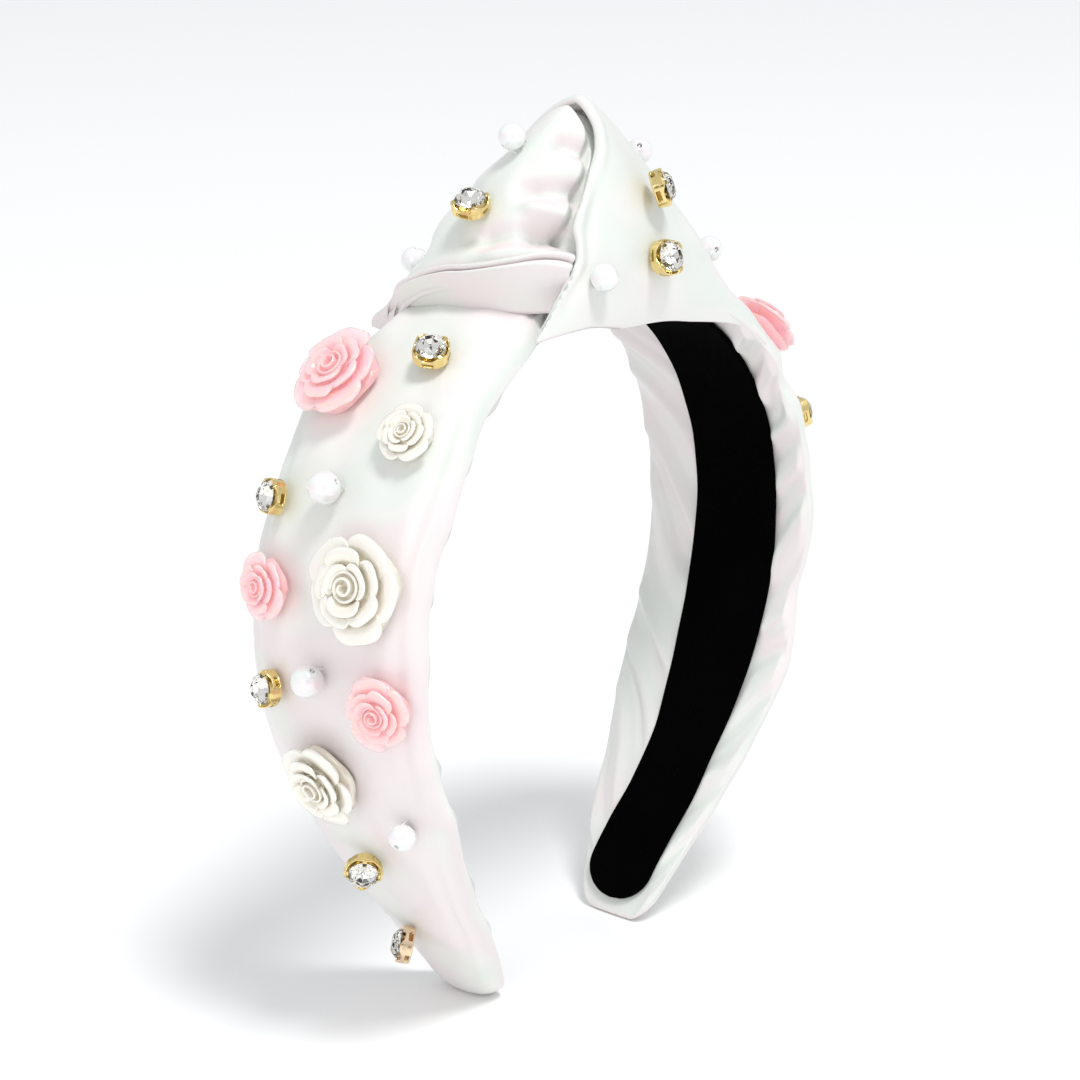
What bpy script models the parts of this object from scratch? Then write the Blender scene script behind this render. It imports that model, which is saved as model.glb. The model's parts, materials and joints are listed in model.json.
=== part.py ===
"""Knotted satin headband with roses, pearls and rhinestones sewn on. Metres, +Z up.

The origin is on the ground midway between the two tips. +Z runs up to the crown, X runs from ear to ear
(+X is the right arm) and -Y is the front edge. A place on the band is (s, y, h): s is measured along the
inner face from the crown, positive to the right, y across the band and h outwards from the inner face.
"""
import math

import bmesh
import bpy
import numpy as np
from mathutils import Matrix, Vector

# arch of the inner face, from the crown down to a tip
ARM_LENGTH = 0.176
BEND = (14.2, 20.0, 19.1, 13.4, 2.5, -9.0)  # 1 / radius of the arch, in 1/m, at even steps along an arm
ARCH_STEPS = 720

# outline of the band
BAND_WIDTH = 0.041
TIP_WIDTH = 0.0145
TAPER_START = 0.097      # along s; the band keeps its full width up to here
TIP_THINNING = 0.30      # share of the thickness lost at the tips
SIDE_POWER = 0.7         # of the cross-section's cosine; 1 is an ellipse and less is squarer
DOME_POWER = 0.8         # of its sine above the side edges
INNER_POWER = 0.5        # of its sine below them

# layers, as heights above the inner face
LINING_THICKNESS = 0.0010
LINING_WIDTH = 0.020
LINING_NARROWING = 0.0045   # how much narrower the ribbon is towards the tips
LINING_SHARE = 0.74      # most of the band's width that the ribbon takes
LINING_OFFSET = -0.0032  # the ribbon lies nearer the front edge, less where the band is narrow
COVER_INNER = 0.0013
COVER_EDGE = 0.0022      # height of the band's side edges
COVER_OUTER = 0.0082
COVER_WALL = 0.0005
CORE_BOTTOM = 0.0021
CORE_TOP = 0.0036
CORE_SHARE = 0.70        # core width over band width
FOAM_INSET = 0.0028      # foam's edge to the band's edge
GAP = 0.0003             # between pieces that touch
TIP_FLOOR = 0.0012       # cloth and glue closing a tip
ARM_STATIONS = 18        # every layer has the same ones, so that the gaps between them hold
CROWN_STATIONS = 9

# flexing: each arm bends about a line across the outer face, this far from the crown
FLEX_S = 0.029
FLEX_H = 0.0085

# knot
KNOT_HALF_WIDTH = 0.0222
KNOT_RISE = 0.0285       # from the band's outer face to the peak
KNOT_REACH = 0.0300      # from the peak to where the knot has run out into the band, along s
KNOT_LEAN = 0.0060       # the peak leans to the front edge
KNOT_HEM = 0.0010
KNOT_CLOTH = 0.0018      # folded cloth over the cover at the knot's ends
KNOT_PEAK_ROUND = 0.1    # share of the reach over which the peak is rounded
KNOT_SLOPE_POWER = 1.25  # of the rise along s; 1 is a straight slope
KNOT_PINCH = 0.7         # added to SIDE_POWER at the peak, which narrows it
KNOT_SHARPEN = 0.6       # added to DOME_POWER at the peak
KNOT_TURNS = (0, 4, 10, 20, 28, 31, 34, 37, 45, 52, 60, 70, 80, 90, 105, 120, 135, 150, 165, 180)
STRIP_START, WING_START = 34, 45    # below these turns the panel lies over the strip and the wing
# lines over the knot as (turn in degrees, s): the panel's edge from its front hem round the corner
# and over the peak, and the wrapped strip's two edges
PANEL_EDGE = (
    (0, -0.0040), (4, -0.0110), (10, -0.0195), (20, -0.0246), (28, -0.0267), (31, -0.0206),
    (34, -0.0146), (37, -0.0124), (45, -0.0110), (52, -0.0063), (60, -0.0022), (70, -0.0010), (180, -0.0006),
)
STRIP_HEM = ((34, -0.0204), (52, -0.0232), (70, -0.0247), (90, -0.0260), (120, -0.0276), (180, -0.0287))
STRIP_TOP = ((34, -0.0121), (45, -0.0145), (70, -0.0196), (90, -0.0221), (120, -0.0232), (180, -0.0240))

ROSE_HEIGHT = 0.42       # over its diameter
ROSE_PROFILE = ((0.78, 0.0), (0.92, 0.22), (0.78, 0.62), (0.40, 1.0))  # shares of radius and height
ROSE_LOBES = 0.08        # depth of its lobes over its radius

PEARL = 0.0060
SMALL_PEARL = 0.0050
PEARL_BORE = 0.0012
CUP = 0.0070
CUP_WALL = 0.00035
CUP_FLOOR = 0.0006
CUP_ROUND = 0.0005       # bevel round the cup's foot
CUP_DEPTH = 0.0026
CLAW = 0.0009
STONE_CULET = 0.25       # share of the stone's radius left flat at its back
STONE_GIRDLE = (0.0021, 0.0025)
STONE_TABLE = 0.0040
STONE_TABLE_SHARE = 0.55

# decoration: (name, s, y, diameter); the arms' s is taken positive on both
LEFT_ROSES = (
    ("rose_pink_upper", 0.0430, 0.0105, 0.0190),
    ("rose_ivory_small", 0.0495, -0.0098, 0.0118),
    ("rose_pink_back", 0.0775, 0.0125, 0.0130),
    ("rose_ivory_large", 0.0732, -0.0098, 0.0205),
    ("rose_pink_front", 0.0922, -0.0145, 0.0142),
    ("rose_ivory_lower", 0.1085, 0.0016, 0.0175),
)
RIGHT_ROSES = (
    ("rose_pink_upper", 0.0494, -0.0118, 0.0160),
    ("rose_ivory_small", 0.0600, 0.0090, 0.0118),
    ("rose_ivory_large", 0.0810, 0.0030, 0.0205),
    ("rose_pink_back", 0.1010, 0.0100, 0.0130),
    ("rose_ivory_lower", 0.1290, 0.0010, 0.0175),
)
LEFT_STONES = (
    ("rhinestone_1", 0.0357, -0.0056),
    ("rhinestone_2", 0.0637, 0.0141),
    ("rhinestone_3", 0.0937, 0.0115),
    ("rhinestone_4", 0.1281, -0.0005),
    ("rhinestone_5", 0.1518, 0.0018),
)
RIGHT_STONES = (
    ("rhinestone_1", 0.0675, -0.0142),
    ("rhinestone_2", 0.1480, 0.0000),
)
LEFT_PEARLS = (
    ("pearl_1", 0.0605, 0.0017, PEARL),
    ("pearl_2", 0.0895, -0.0001, PEARL),
    ("pearl_3", 0.1160, -0.0138, SMALL_PEARL),
)
RIGHT_PEARLS = (
    ("pearl_1", 0.0420, 0.0090, PEARL),
    ("pearl_2", 0.0960, -0.0090, PEARL),
    ("pearl_3", 0.1150, -0.0060, SMALL_PEARL),
)
# on the knot: (name, s, turn over the knot in degrees from the front hem, diameter)
KNOT_STONES = (
    ("knot_rhinestone_1", -0.0157, 95.0),
    ("knot_rhinestone_2", 0.0053, 44.0),
    ("knot_rhinestone_3", 0.0046, 22.0),
)
KNOT_PEARLS = (
    ("knot_pearl_1", -0.0076, 100.0, SMALL_PEARL),
    ("knot_pearl_2", 0.0129, 86.0, SMALL_PEARL),
    ("knot_pearl_3", -0.0112, 24.0, SMALL_PEARL),
    ("knot_pearl_4", 0.0265, 64.0, SMALL_PEARL),
    ("knot_pearl_5", -0.0125, 163.0, SMALL_PEARL),
)


def clear_scene():
    for thing in list(bpy.data.objects):
        bpy.data.objects.remove(thing, do_unlink=True)


def material(name, colour, roughness, metallic=0.0):
    made = bpy.data.materials.new(name)
    made.use_nodes = True
    shader = made.node_tree.nodes["Principled BSDF"]
    shader.inputs["Base Color"].default_value = (*colour, 1.0)
    shader.inputs["Roughness"].default_value = roughness
    shader.inputs["Metallic"].default_value = metallic
    return made


# ---- the band's own coordinates ----

def arch_table():
    """Turn, x and z along the right arm: the bend is added up to a turn, and the turn to a place."""
    s = np.linspace(0.0, ARM_LENGTH, ARCH_STEPS + 1)
    bend = np.interp(s, np.linspace(0.0, ARM_LENGTH, len(BEND)), BEND)
    step = s[1]

    def added_up(values):
        return np.concatenate(([0.0], np.cumsum((values[1:] + values[:-1]) / 2) * step))

    turn = added_up(bend)
    drop = added_up(np.sin(turn))
    return s, turn, added_up(np.cos(turn)), drop[-1] - drop


ARCH_S, ARCH_TURN, ARCH_X, ARCH_Z = arch_table()
TIP_TURN = ARCH_TURN[-1]


def place(s, y, h):
    """World place of (s, y, h); arrays work too."""
    s = np.asarray(s, float)
    along, side = np.abs(s), np.where(s < 0, -1.0, 1.0)
    turn = np.interp(along, ARCH_S, ARCH_TURN)
    x = np.interp(along, ARCH_S, ARCH_X) + h * np.sin(turn)
    z = np.interp(along, ARCH_S, ARCH_Z) + h * np.cos(turn)
    return np.stack(np.broadcast_arrays(side * x, y, z), -1)


def taper(s):
    return np.clip((np.abs(s) - TAPER_START) / (ARM_LENGTH - TAPER_START), 0.0, 1.0) ** 2


def band_width(s):
    return BAND_WIDTH - (BAND_WIDTH - TIP_WIDTH) * taper(s)


def outer_height(s):
    return COVER_EDGE + (COVER_OUTER - COVER_EDGE) * (1.0 - TIP_THINNING * taper(s))


def tip_s(h, floor=0.0):
    """s at which a line at height h comes down to the ground, or to a floor above it."""
    return ARM_LENGTH + (h / math.tan(TIP_TURN)) - floor / math.sin(TIP_TURN)


# ---- cross-sections: rings of (y, h), one array for each station ----

def oval(angle, low, edge, side_inset=0.0, top_inset=0.0):
    """Section with a flat inner face and a domed outer one, inset from the cover's outer face."""
    across = np.sign(np.cos(angle)) * np.abs(np.cos(angle)) ** SIDE_POWER
    lift = np.sin(angle)

    def ring(s):
        y = (band_width(s) / 2 - side_inset) * across
        top = outer_height(s) - top_inset - edge
        up = edge + top * np.abs(lift) ** DOME_POWER
        down = edge - (edge - low) * np.abs(lift) ** INNER_POWER
        return y, np.where(lift >= 0, up, down)

    return ring


def slab(half_width, low, high, offset=0.0):
    """Flat rectangle, moved over by an offset that shrinks with the band's width."""
    def ring(s):
        shift = offset * band_width(s) / BAND_WIDTH
        y = shift + half_width(s) * np.array((-1.0, 1.0, 1.0, -1.0))
        return y, np.array((low, low, high, high))

    return ring


def rings_along(ring, start, end, stations, floor=None):
    """Rings from s = start to end. With a floor the last ring lies level, that far above the ground."""
    made = []
    side = -1.0 if min(start, end) < 0 and floor is not None else 1.0
    for share in np.linspace(0.0, 1.0, stations):
        s = start + share * (end - start)
        y, h = ring(s)
        if floor is not None:
            s = side * (abs(start) + share * (tip_s(h, floor) - abs(start)))
        points = place(s, y, h)
        if floor is not None and share == 1.0:
            points[:, 2] = floor
        made.append(points)
    return made


# ---- meshes ----

def solid(name, rings, colour, loop=False, ladder=False):
    """Closed body through a list of rings, capped at both ends or joined into a loop.

    A ladder cap joins each point of the ring's first half to its partner in the second half.
    """
    shape = bmesh.new()
    rows = [[shape.verts.new(point) for point in ring] for ring in rings]
    pairs = list(zip(rows[:-1], rows[1:]))
    if loop:
        pairs.append((rows[-1], rows[0]))
    elif ladder:
        for row in (rows[0], rows[-1]):
            for i in range(len(row) // 2 - 1):
                shape.faces.new((row[i], row[i + 1], row[-2 - i], row[-1 - i]))
    else:
        shape.faces.new(rows[0])
        shape.faces.new(rows[-1])
    for near, far in pairs:
        for i in range(len(near)):
            j = (i + 1) % len(near)
            shape.faces.new((near[i], near[j], far[j], far[i]))
    bmesh.ops.recalc_face_normals(shape, faces=shape.faces)
    return finish(name, shape, colour)


def finish(name, shape, colour):
    mesh = bpy.data.meshes.new(name)
    shape.to_mesh(mesh)
    shape.free()
    mesh.shade_smooth()
    mesh.set_sharp_from_angle(angle=math.radians(40))
    mesh.materials.append(colour)
    thing = bpy.data.objects.new(name, mesh)
    bpy.context.collection.objects.link(thing)
    return thing


def turned(radii_and_heights, sides, wave=0.0, lobes=5):
    """Rings about local Z; wave makes the outline lobed, each ring half a lobe round from the last."""
    rings = []
    for k, (radius, height) in enumerate(radii_and_heights):
        angle = np.arange(sides) * 2 * math.pi / sides
        r = radius * (1 + wave * np.cos(lobes * angle + k * math.pi))
        rings.append(np.stack((r * np.cos(angle), r * np.sin(angle), np.full(sides, height)), -1))
    return rings


# ---- layers of the band ----

COVER_ANGLES = np.linspace(0.0, 2 * math.pi, 16, endpoint=False)
FOAM_ANGLES = np.linspace(0.0, math.pi, 9)


def lining_half_width(s):
    width = LINING_WIDTH - LINING_NARROWING * min(1.0, 4.0 * taper(s))
    return min(width, LINING_SHARE * band_width(s)) / 2


def band_layers(looks):
    """Core, foam, cover and lining, each as a crown length and two arms that meet at the flex lines."""
    outside = oval(COVER_ANGLES, COVER_INNER, COVER_EDGE)
    inside = oval(COVER_ANGLES, COVER_INNER + COVER_WALL, COVER_EDGE, COVER_WALL, COVER_WALL)
    foam = oval(FOAM_ANGLES, CORE_TOP, CORE_TOP + GAP, FOAM_INSET, COVER_WALL + GAP)
    core = slab(lambda s: CORE_SHARE * band_width(s) / 2, CORE_BOTTOM, CORE_TOP)
    lining = slab(lining_half_width, 0.0, LINING_THICKNESS, LINING_OFFSET)
    crown = FLEX_S - GAP / 2
    tube = rings_along(outside, -crown, crown, CROWN_STATIONS)
    tube += rings_along(inside, crown, -crown, CROWN_STATIONS)
    made = {"crown": [], "left": [], "right": []}
    made["crown"] += [
        solid("crown_cover", tube, looks["satin"], loop=True),
        solid("crown_foam", rings_along(foam, -crown, crown, CROWN_STATIONS), looks["foam"]),
        solid("crown_core", rings_along(core, -crown, crown, CROWN_STATIONS), looks["plastic"]),
        solid("crown_lining", rings_along(lining, -crown, crown, CROWN_STATIONS), looks["velvet"]),
    ]
    for side, sign in (("left", -1), ("right", 1)):
        top = sign * (FLEX_S + GAP / 2)
        tip = sign * ARM_LENGTH
        sleeve = rings_along(inside, top, tip, ARM_STATIONS, TIP_FLOOR)[::-1]
        sleeve += rings_along(outside, top, tip, ARM_STATIONS, 0.0)
        foam_rings = rings_along(foam, top, tip, ARM_STATIONS, TIP_FLOOR + 2 * GAP)
        core_rings = rings_along(core, top, tip, ARM_STATIONS, TIP_FLOOR + 2 * GAP)
        ribbon = rings_along(lining, top, tip, ARM_STATIONS)[:-1]
        made[side] += [
            solid(side + "_cover", sleeve, looks["satin"]),
            solid(side + "_foam", foam_rings, looks["foam"]),
            solid(side + "_core", core_rings, looks["plastic"]),
            solid(side + "_lining", ribbon, looks["velvet"]),
        ]
    return made


# ---- knot ----

def knot_bump(s):
    """1 at the peak, falling along nearly straight sides to 0 at the knot's ends."""
    share = np.clip(np.abs(s) / KNOT_REACH, 0.0, 1.0)
    rounded = np.hypot(share, KNOT_PEAK_ROUND) - KNOT_PEAK_ROUND
    most = math.hypot(1.0, KNOT_PEAK_ROUND) - KNOT_PEAK_ROUND
    return np.clip(1.0 - rounded / most, 0.0, 1.0) ** KNOT_SLOPE_POWER


def knot_skin(s, turn):
    """Outer face of the knot at a turn over it: 0 at the front hem, pi at the back hem."""
    bump = knot_bump(s)
    rise = outer_height(s) + KNOT_CLOTH + KNOT_RISE * bump
    across = np.sign(np.cos(turn)) * np.abs(np.cos(turn)) ** (SIDE_POWER + KNOT_PINCH * bump)
    y = -KNOT_HALF_WIDTH * across - KNOT_LEAN * np.sin(turn) ** 2 * bump
    h = KNOT_HEM + (rise - KNOT_HEM) * np.sin(turn) ** (DOME_POWER + KNOT_SHARPEN * bump)
    return place(s, y, h)


def knot_bed(s, turn):
    """Inner face of the knot, a gap away from the crown cover."""
    y = -(BAND_WIDTH / 2 + GAP) * np.sign(np.cos(turn)) * np.abs(np.cos(turn)) ** SIDE_POWER
    h = COVER_EDGE + (COVER_OUTER + GAP - COVER_EDGE) * np.sin(turn) ** DOME_POWER
    return place(s, y, h)


def knot_piece(name, start, end, colour, first_turn=0):
    """Part of the knot between two lines across it, given as functions of the turn in degrees."""
    degrees = np.array([turn for turn in KNOT_TURNS if turn >= first_turn], float)
    turn = np.radians(degrees)
    rings = []
    for share in np.linspace(0.0, 1.0, 8):
        s = start(degrees) + share * (end(degrees) - start(degrees))
        rings.append(np.concatenate((knot_skin(s, turn), knot_bed(s, turn)[::-1])))
    return solid(name, rings, colour, ladder=True)


def line_through(pairs):
    degrees, s = np.array(pairs).T
    return lambda turn: np.interp(turn, degrees, s)


def knot(satin):
    edge, hem, top = (line_through(pairs) for pairs in (PANEL_EDGE, STRIP_HEM, STRIP_TOP))

    def strip_end(turn):
        return np.minimum(top(turn), edge(turn) - GAP)

    def panel_hem(turn):
        return np.full_like(turn, FLEX_S - GAP)

    knot_piece("knot_wrap_strip", hem, strip_end, satin, STRIP_START)
    knot_piece("knot_left_wing", lambda turn: strip_end(turn) + GAP, edge, satin, WING_START)
    knot_piece("knot_right_panel", lambda turn: edge(turn) + GAP, panel_hem, satin)


# ---- decoration ----

def band_skin(s, y):
    """Outer face of the cover at (s, y)."""
    across = np.clip(np.abs(y) / (band_width(s) / 2), 0.0, 1.0)
    lift = np.sqrt(1.0 - across ** (2 / SIDE_POWER)) ** DOME_POWER
    return place(s, y, COVER_EDGE + (outer_height(s) - COVER_EDGE) * lift)


def seat(skin, a, b, step_a, step_b, clearance):
    """Frame on a skin: Z along its outward normal, X along the first parameter."""
    point = Vector(skin(a, b))
    along = (Vector(skin(a + step_a, b)) - Vector(skin(a - step_a, b))).normalized()
    over = (Vector(skin(a, b + step_b)) - Vector(skin(a, b - step_b))).normalized()
    normal = along.cross(over).normalized()
    if normal.dot(point - Vector((0.0, 0.0, ARCH_Z[0] / 2))) < 0:
        normal = -normal
    over = normal.cross(along)
    frame = Matrix((along, over, normal)).transposed().to_4x4()
    frame.translation = point + normal * clearance
    return frame


def rose(name, diameter, colour):
    """One moulded flower: a lobed dome with a flat back."""
    r, high = diameter / 2, ROSE_HEIGHT * diameter
    profile = [(share * r, lift * high) for share, lift in ROSE_PROFILE]
    return solid(name, turned(profile, 15, wave=ROSE_LOBES), colour)


def pearl(name, diameter, colour):
    """A bead whose bore runs along local X, resting on the cloth."""
    r = diameter / 2
    bore = math.asin(PEARL_BORE / diameter)
    polar = np.linspace(bore, math.pi - bore, 8)
    rings = turned([(r * math.sin(t), r * math.cos(t)) for t in polar], 12)
    rings = [np.stack((ring[:, 2], ring[:, 0], ring[:, 1] + r), -1) for ring in rings]
    return solid(name, rings, colour, loop=True)


def cup(name, colour):
    """Claw setting: a round cup with four claws bent in over the stone."""
    r = CUP / 2
    inner = r - CUP_WALL
    profile = ((r - CUP_ROUND, 0.0), (r, CUP_ROUND), (r, CUP_DEPTH), (inner, CUP_DEPTH), (inner, CUP_FLOOR))
    made = solid(name, turned(profile, 16), colour)
    shape = bmesh.new()
    shape.from_mesh(made.data)
    rim = [f for f in shape.faces if f.normal.z > 0.9 and f.calc_center_median().z > CUP_DEPTH - GAP]
    rim.sort(key=lambda f: math.atan2(f.calc_center_median().y, f.calc_center_median().x))
    for face in rim[::4]:
        grown = bmesh.ops.extrude_discrete_faces(shape, faces=[face])["faces"][0]
        centre = grown.calc_center_median()
        inward = -Vector((centre.x, centre.y, 0.0)).normalized() * CUP_WALL * 1.5
        bmesh.ops.translate(shape, verts=grown.verts, vec=inward + Vector((0.0, 0.0, CLAW)))
    bmesh.ops.recalc_face_normals(shape, faces=shape.faces)
    shape.to_mesh(made.data)
    shape.free()
    made.data.set_sharp_from_angle(angle=math.radians(40))
    return made


def stone(name, colour):
    """Pointed-back glass stone with a flat table, inside its cup."""
    r = CUP / 2 - CUP_WALL - 2 * GAP
    low, high = STONE_GIRDLE
    profile = ((STONE_CULET * r, CUP_FLOOR + GAP), (r, low), (r, high), (STONE_TABLE_SHARE * r, STONE_TABLE))
    made = solid(name, turned(profile, 12), colour)
    made.data.set_sharp_from_angle(angle=math.radians(5))
    return made


def put(thing, frame):
    thing.matrix_world = frame
    return thing


def set_stone(name, frame, looks, metal):
    setting = put(cup(name + "_cup", looks[metal]), frame)
    return [setting, put(stone(name + "_stone", looks["crystal"]), frame)]


def arm_decoration(side, roses, stones, pearls, looks):
    sign = -1.0 if side == "left" else 1.0
    step = 0.0005

    def frame(s, y):
        return seat(band_skin, sign * s, y, step, step, GAP)

    made = []
    for name, s, y, diameter in roses:
        look = looks["pink"] if "pink" in name else looks["ivory"]
        made.append(put(rose(side + "_" + name, diameter, look), frame(s, y)))
    for name, s, y in stones:
        metal = "rose_gold" if name == "rhinestone_5" else "gold"
        made += set_stone(side + "_" + name, frame(s, y), looks, metal)
    for name, s, y, diameter in pearls:
        made.append(put(pearl(side + "_" + name, diameter, looks["pearl"]), frame(s, y)))
    return made


def knot_decoration(looks):
    def frame(s, degrees):
        return seat(knot_skin, s, math.radians(degrees), 0.001, 0.04, GAP)

    made = []
    for name, s, degrees in KNOT_STONES:
        made += set_stone(name, frame(s, degrees), looks, "gold")
    for name, s, degrees, diameter in KNOT_PEARLS:
        made.append(put(pearl(name, diameter, looks["pearl"]), frame(s, degrees)))
    return made


def hang_on_flex_line(side, things):
    """Parent an arm's pieces to an empty on the line the arm flexes about."""
    sign = -1.0 if side == "left" else 1.0
    pivot = bpy.data.objects.new(side + "_flex_line", None)
    pivot.location = place(sign * FLEX_S, 0.0, FLEX_H)
    bpy.context.collection.objects.link(pivot)
    for thing in things:
        thing.parent = pivot
        thing.matrix_parent_inverse = Matrix.Translation(-pivot.location)


def main():
    clear_scene()
    looks = {
        "satin": material("pearl_satin", (0.93, 0.92, 0.90), 0.35),
        "foam": material("foam", (0.85, 0.84, 0.80), 0.9),
        "plastic": material("core_plastic", (0.80, 0.80, 0.78), 0.5),
        "velvet": material("black_velvet", (0.010, 0.010, 0.011), 0.95),
        "ivory": material("ivory_resin", (0.90, 0.86, 0.76), 0.25),
        "pink": material("pink_resin", (1.0, 0.60, 0.66), 0.15),
        "pearl": material("pearl_coat", (0.92, 0.91, 0.89), 0.18),
        "crystal": material("crystal", (0.85, 0.88, 0.90), 0.03),
        "gold": material("gold_plate", (0.83, 0.60, 0.20), 0.25, 1.0),
        "rose_gold": material("rose_gold_plate", (0.80, 0.55, 0.38), 0.28, 1.0),
    }
    layers = band_layers(looks)
    knot(looks["satin"])
    knot_decoration(looks)
    left = arm_decoration("left", LEFT_ROSES, LEFT_STONES, LEFT_PEARLS, looks)
    right = arm_decoration("right", RIGHT_ROSES, RIGHT_STONES, RIGHT_PEARLS, looks)
    hang_on_flex_line("left", layers["left"] + left)
    hang_on_flex_line("right", layers["right"] + right)


main()
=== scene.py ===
"""Looks of the knotted satin headband: satin sleeves and knot, velvet ribbon, moulded roses, beads and stones."""
import json
import math

import bmesh
import bpy
import numpy as np
from mathutils import Matrix, Vector


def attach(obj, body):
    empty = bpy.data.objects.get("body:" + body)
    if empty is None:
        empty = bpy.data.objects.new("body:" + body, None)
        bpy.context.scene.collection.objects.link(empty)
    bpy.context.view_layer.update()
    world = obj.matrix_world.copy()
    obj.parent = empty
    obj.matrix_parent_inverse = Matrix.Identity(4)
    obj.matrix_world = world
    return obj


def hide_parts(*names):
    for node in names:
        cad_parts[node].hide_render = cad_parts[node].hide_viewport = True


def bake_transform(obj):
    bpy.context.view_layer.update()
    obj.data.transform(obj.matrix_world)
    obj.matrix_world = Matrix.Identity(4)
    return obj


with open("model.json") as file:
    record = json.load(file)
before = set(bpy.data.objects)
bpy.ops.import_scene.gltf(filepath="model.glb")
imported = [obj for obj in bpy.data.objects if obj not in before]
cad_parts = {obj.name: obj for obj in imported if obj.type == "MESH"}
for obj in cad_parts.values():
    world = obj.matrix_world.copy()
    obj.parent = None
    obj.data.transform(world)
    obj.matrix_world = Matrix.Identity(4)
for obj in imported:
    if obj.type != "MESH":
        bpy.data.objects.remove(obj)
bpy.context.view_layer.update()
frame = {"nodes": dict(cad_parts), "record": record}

MM = 0.001

# ---- the band, as the frame has it ----
ARM_LENGTH = 176 * MM
BEND = (14.2, 20.0, 19.1, 13.4, 2.5, -9.0)  # 1 / radius of the inner face, in 1/m, at even steps along an arm
ARCH_STEPS = 720
BAND_WIDTH = 41 * MM
TIP_WIDTH = 14.5 * MM
TAPER_START = 97 * MM
TIP_THINNING = 0.30
SIDE_POWER, DOME_POWER, INNER_POWER = 0.7, 0.8, 0.5
COVER_INNER, COVER_EDGE, COVER_OUTER = 1.3 * MM, 2.2 * MM, 8.2 * MM
GAP = 0.3 * MM
BLEND_START, BLEND_END = 24 * MM, 34 * MM  # distances from the crown of the flex's start and end, which blend_side works out but does not use
FLEX_H = 8.5 * MM         # height of the flex line, which blend_side works out but does not use

# ---- the knot, as the frame has it ----
KNOT_HALF_WIDTH = 22.2 * MM
KNOT_RISE = 28.5 * MM
KNOT_REACH = 30 * MM
KNOT_LEAN = 6 * MM
KNOT_HEM = 1 * MM
KNOT_CLOTH = 1.8 * MM
KNOT_PEAK_ROUND = 0.1
KNOT_SLOPE_POWER = 1.25
KNOT_PINCH, KNOT_SHARPEN = 0.7, 0.6
RUN_OUT_START, RUN_OUT_END, RUN_OUT_DEPTH = 16 * MM, 44 * MM, 0.25 * MM
GATHER, GATHER_S, GATHER_REACH = 0.28, 27 * MM, 13 * MM  # the back of the knot is drawn in on the left
TUCK_TURN, TUCK_IN, TUCK_DOWN = 26.0, 2.6 * MM, 3.4 * MM
TUCK_START, TUCK_RUN = -22 * MM, 26 * MM
BED_SIDE, BED_SINK = 0.3 * MM, 0.5 * MM  # where cloth lies down on the sleeve

# lines over the knot: (turn in degrees from the front hem, s in mm)
PANEL_EDGE = ((0, -4), (3, -10), (10, -19.5), (20, -24.6), (28, -26.7), (30, -22.6), (32, -18.7), (34, -14.6),
              (37, -12.4), (41, -11.5), (46, -10.9), (52, -6.3), (60, -2.2), (69, -1.0), (90, -0.6), (180, -0.6))
STRIP_HEM = ((20, -13.2), (32, -15.0), (49, -18.4), (67, -21.4), (88, -23.4), (120, -25.4), (180, -27.0))
STRIP_TOP = ((20, -9.5), (37, -12.6), (65, -19.1), (83, -21.4), (98, -22.7), (120, -23.6), (180, -24.5))


# ---- small tools ----

def smoothstep(x):
    x = np.clip(x, 0.0, 1.0)
    return x * x * (3.0 - 2.0 * x)


def bell(x, width):
    return np.exp(-(x / width) ** 2)


def signed_power(x, power):
    return np.sign(x) * np.abs(x) ** power


def unit(v):
    return v / (np.linalg.norm(v, axis=-1, keepdims=True) + 1e-12)


def crowded(count, share=0.85):
    """Positions from 0 to 1 that crowd towards both ends: a straight run mixed with half a cosine."""
    even = np.linspace(0.0, 1.0, count)
    return (1 - share) * even + share * (0.5 - 0.5 * np.cos(math.pi * even))


def curve_through(pairs):
    """Monotone cubic through (x, y) pairs: slopes are harmonic means of the neighbouring ones."""
    x, y = np.array(pairs, float).T
    width, rise = np.diff(x), np.diff(y) / np.diff(x)
    slope = np.concatenate(([rise[0]], np.zeros(len(x) - 2), [rise[-1]]))
    same = rise[:-1] * rise[1:] > 0
    slope[1:-1][same] = 2 * rise[:-1][same] * rise[1:][same] / (rise[:-1] + rise[1:])[same]

    def value(t):
        t = np.clip(t, x[0], x[-1])
        k = np.clip(np.searchsorted(x, t, side="right") - 1, 0, len(x) - 2)
        u = (t - x[k]) / width[k]
        ends = y[k] * (1 + 2 * u) * (1 - u) ** 2 + y[k + 1] * u * u * (3 - 2 * u)
        return ends + width[k] * (slope[k] * u * (1 - u) ** 2 - slope[k + 1] * u * u * (1 - u))

    return value


def wander(a, b, seed):
    """Smooth uneven field of two coordinates, about -1 to 1: five sines with unrelated directions."""
    field = 0.0
    for k in range(5):
        heading = seed * 1.7 + k * 2.399
        rate = 0.7 + 0.33 * k
        field = field + np.sin(rate * (a * math.cos(heading) + b * math.sin(heading)) + seed * 2.1 + k * 1.3)
    return field / 3.0


# ---- the band's own coordinates ----

def arch_table():
    """Turn, x and z along an arm: the bend is added up to a turn, and the turn to a place."""
    s = np.linspace(0.0, ARM_LENGTH, ARCH_STEPS + 1)
    bend = np.interp(s, np.linspace(0.0, ARM_LENGTH, len(BEND)), BEND)

    def added_up(values):
        return np.concatenate(([0.0], np.cumsum((values[1:] + values[:-1]) / 2) * s[1]))

    turn = added_up(bend)
    drop = added_up(np.sin(turn))
    return s, turn, added_up(np.cos(turn)), drop[-1] - drop


ARCH_S, ARCH_TURN, ARCH_X, ARCH_Z = arch_table()


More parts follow.
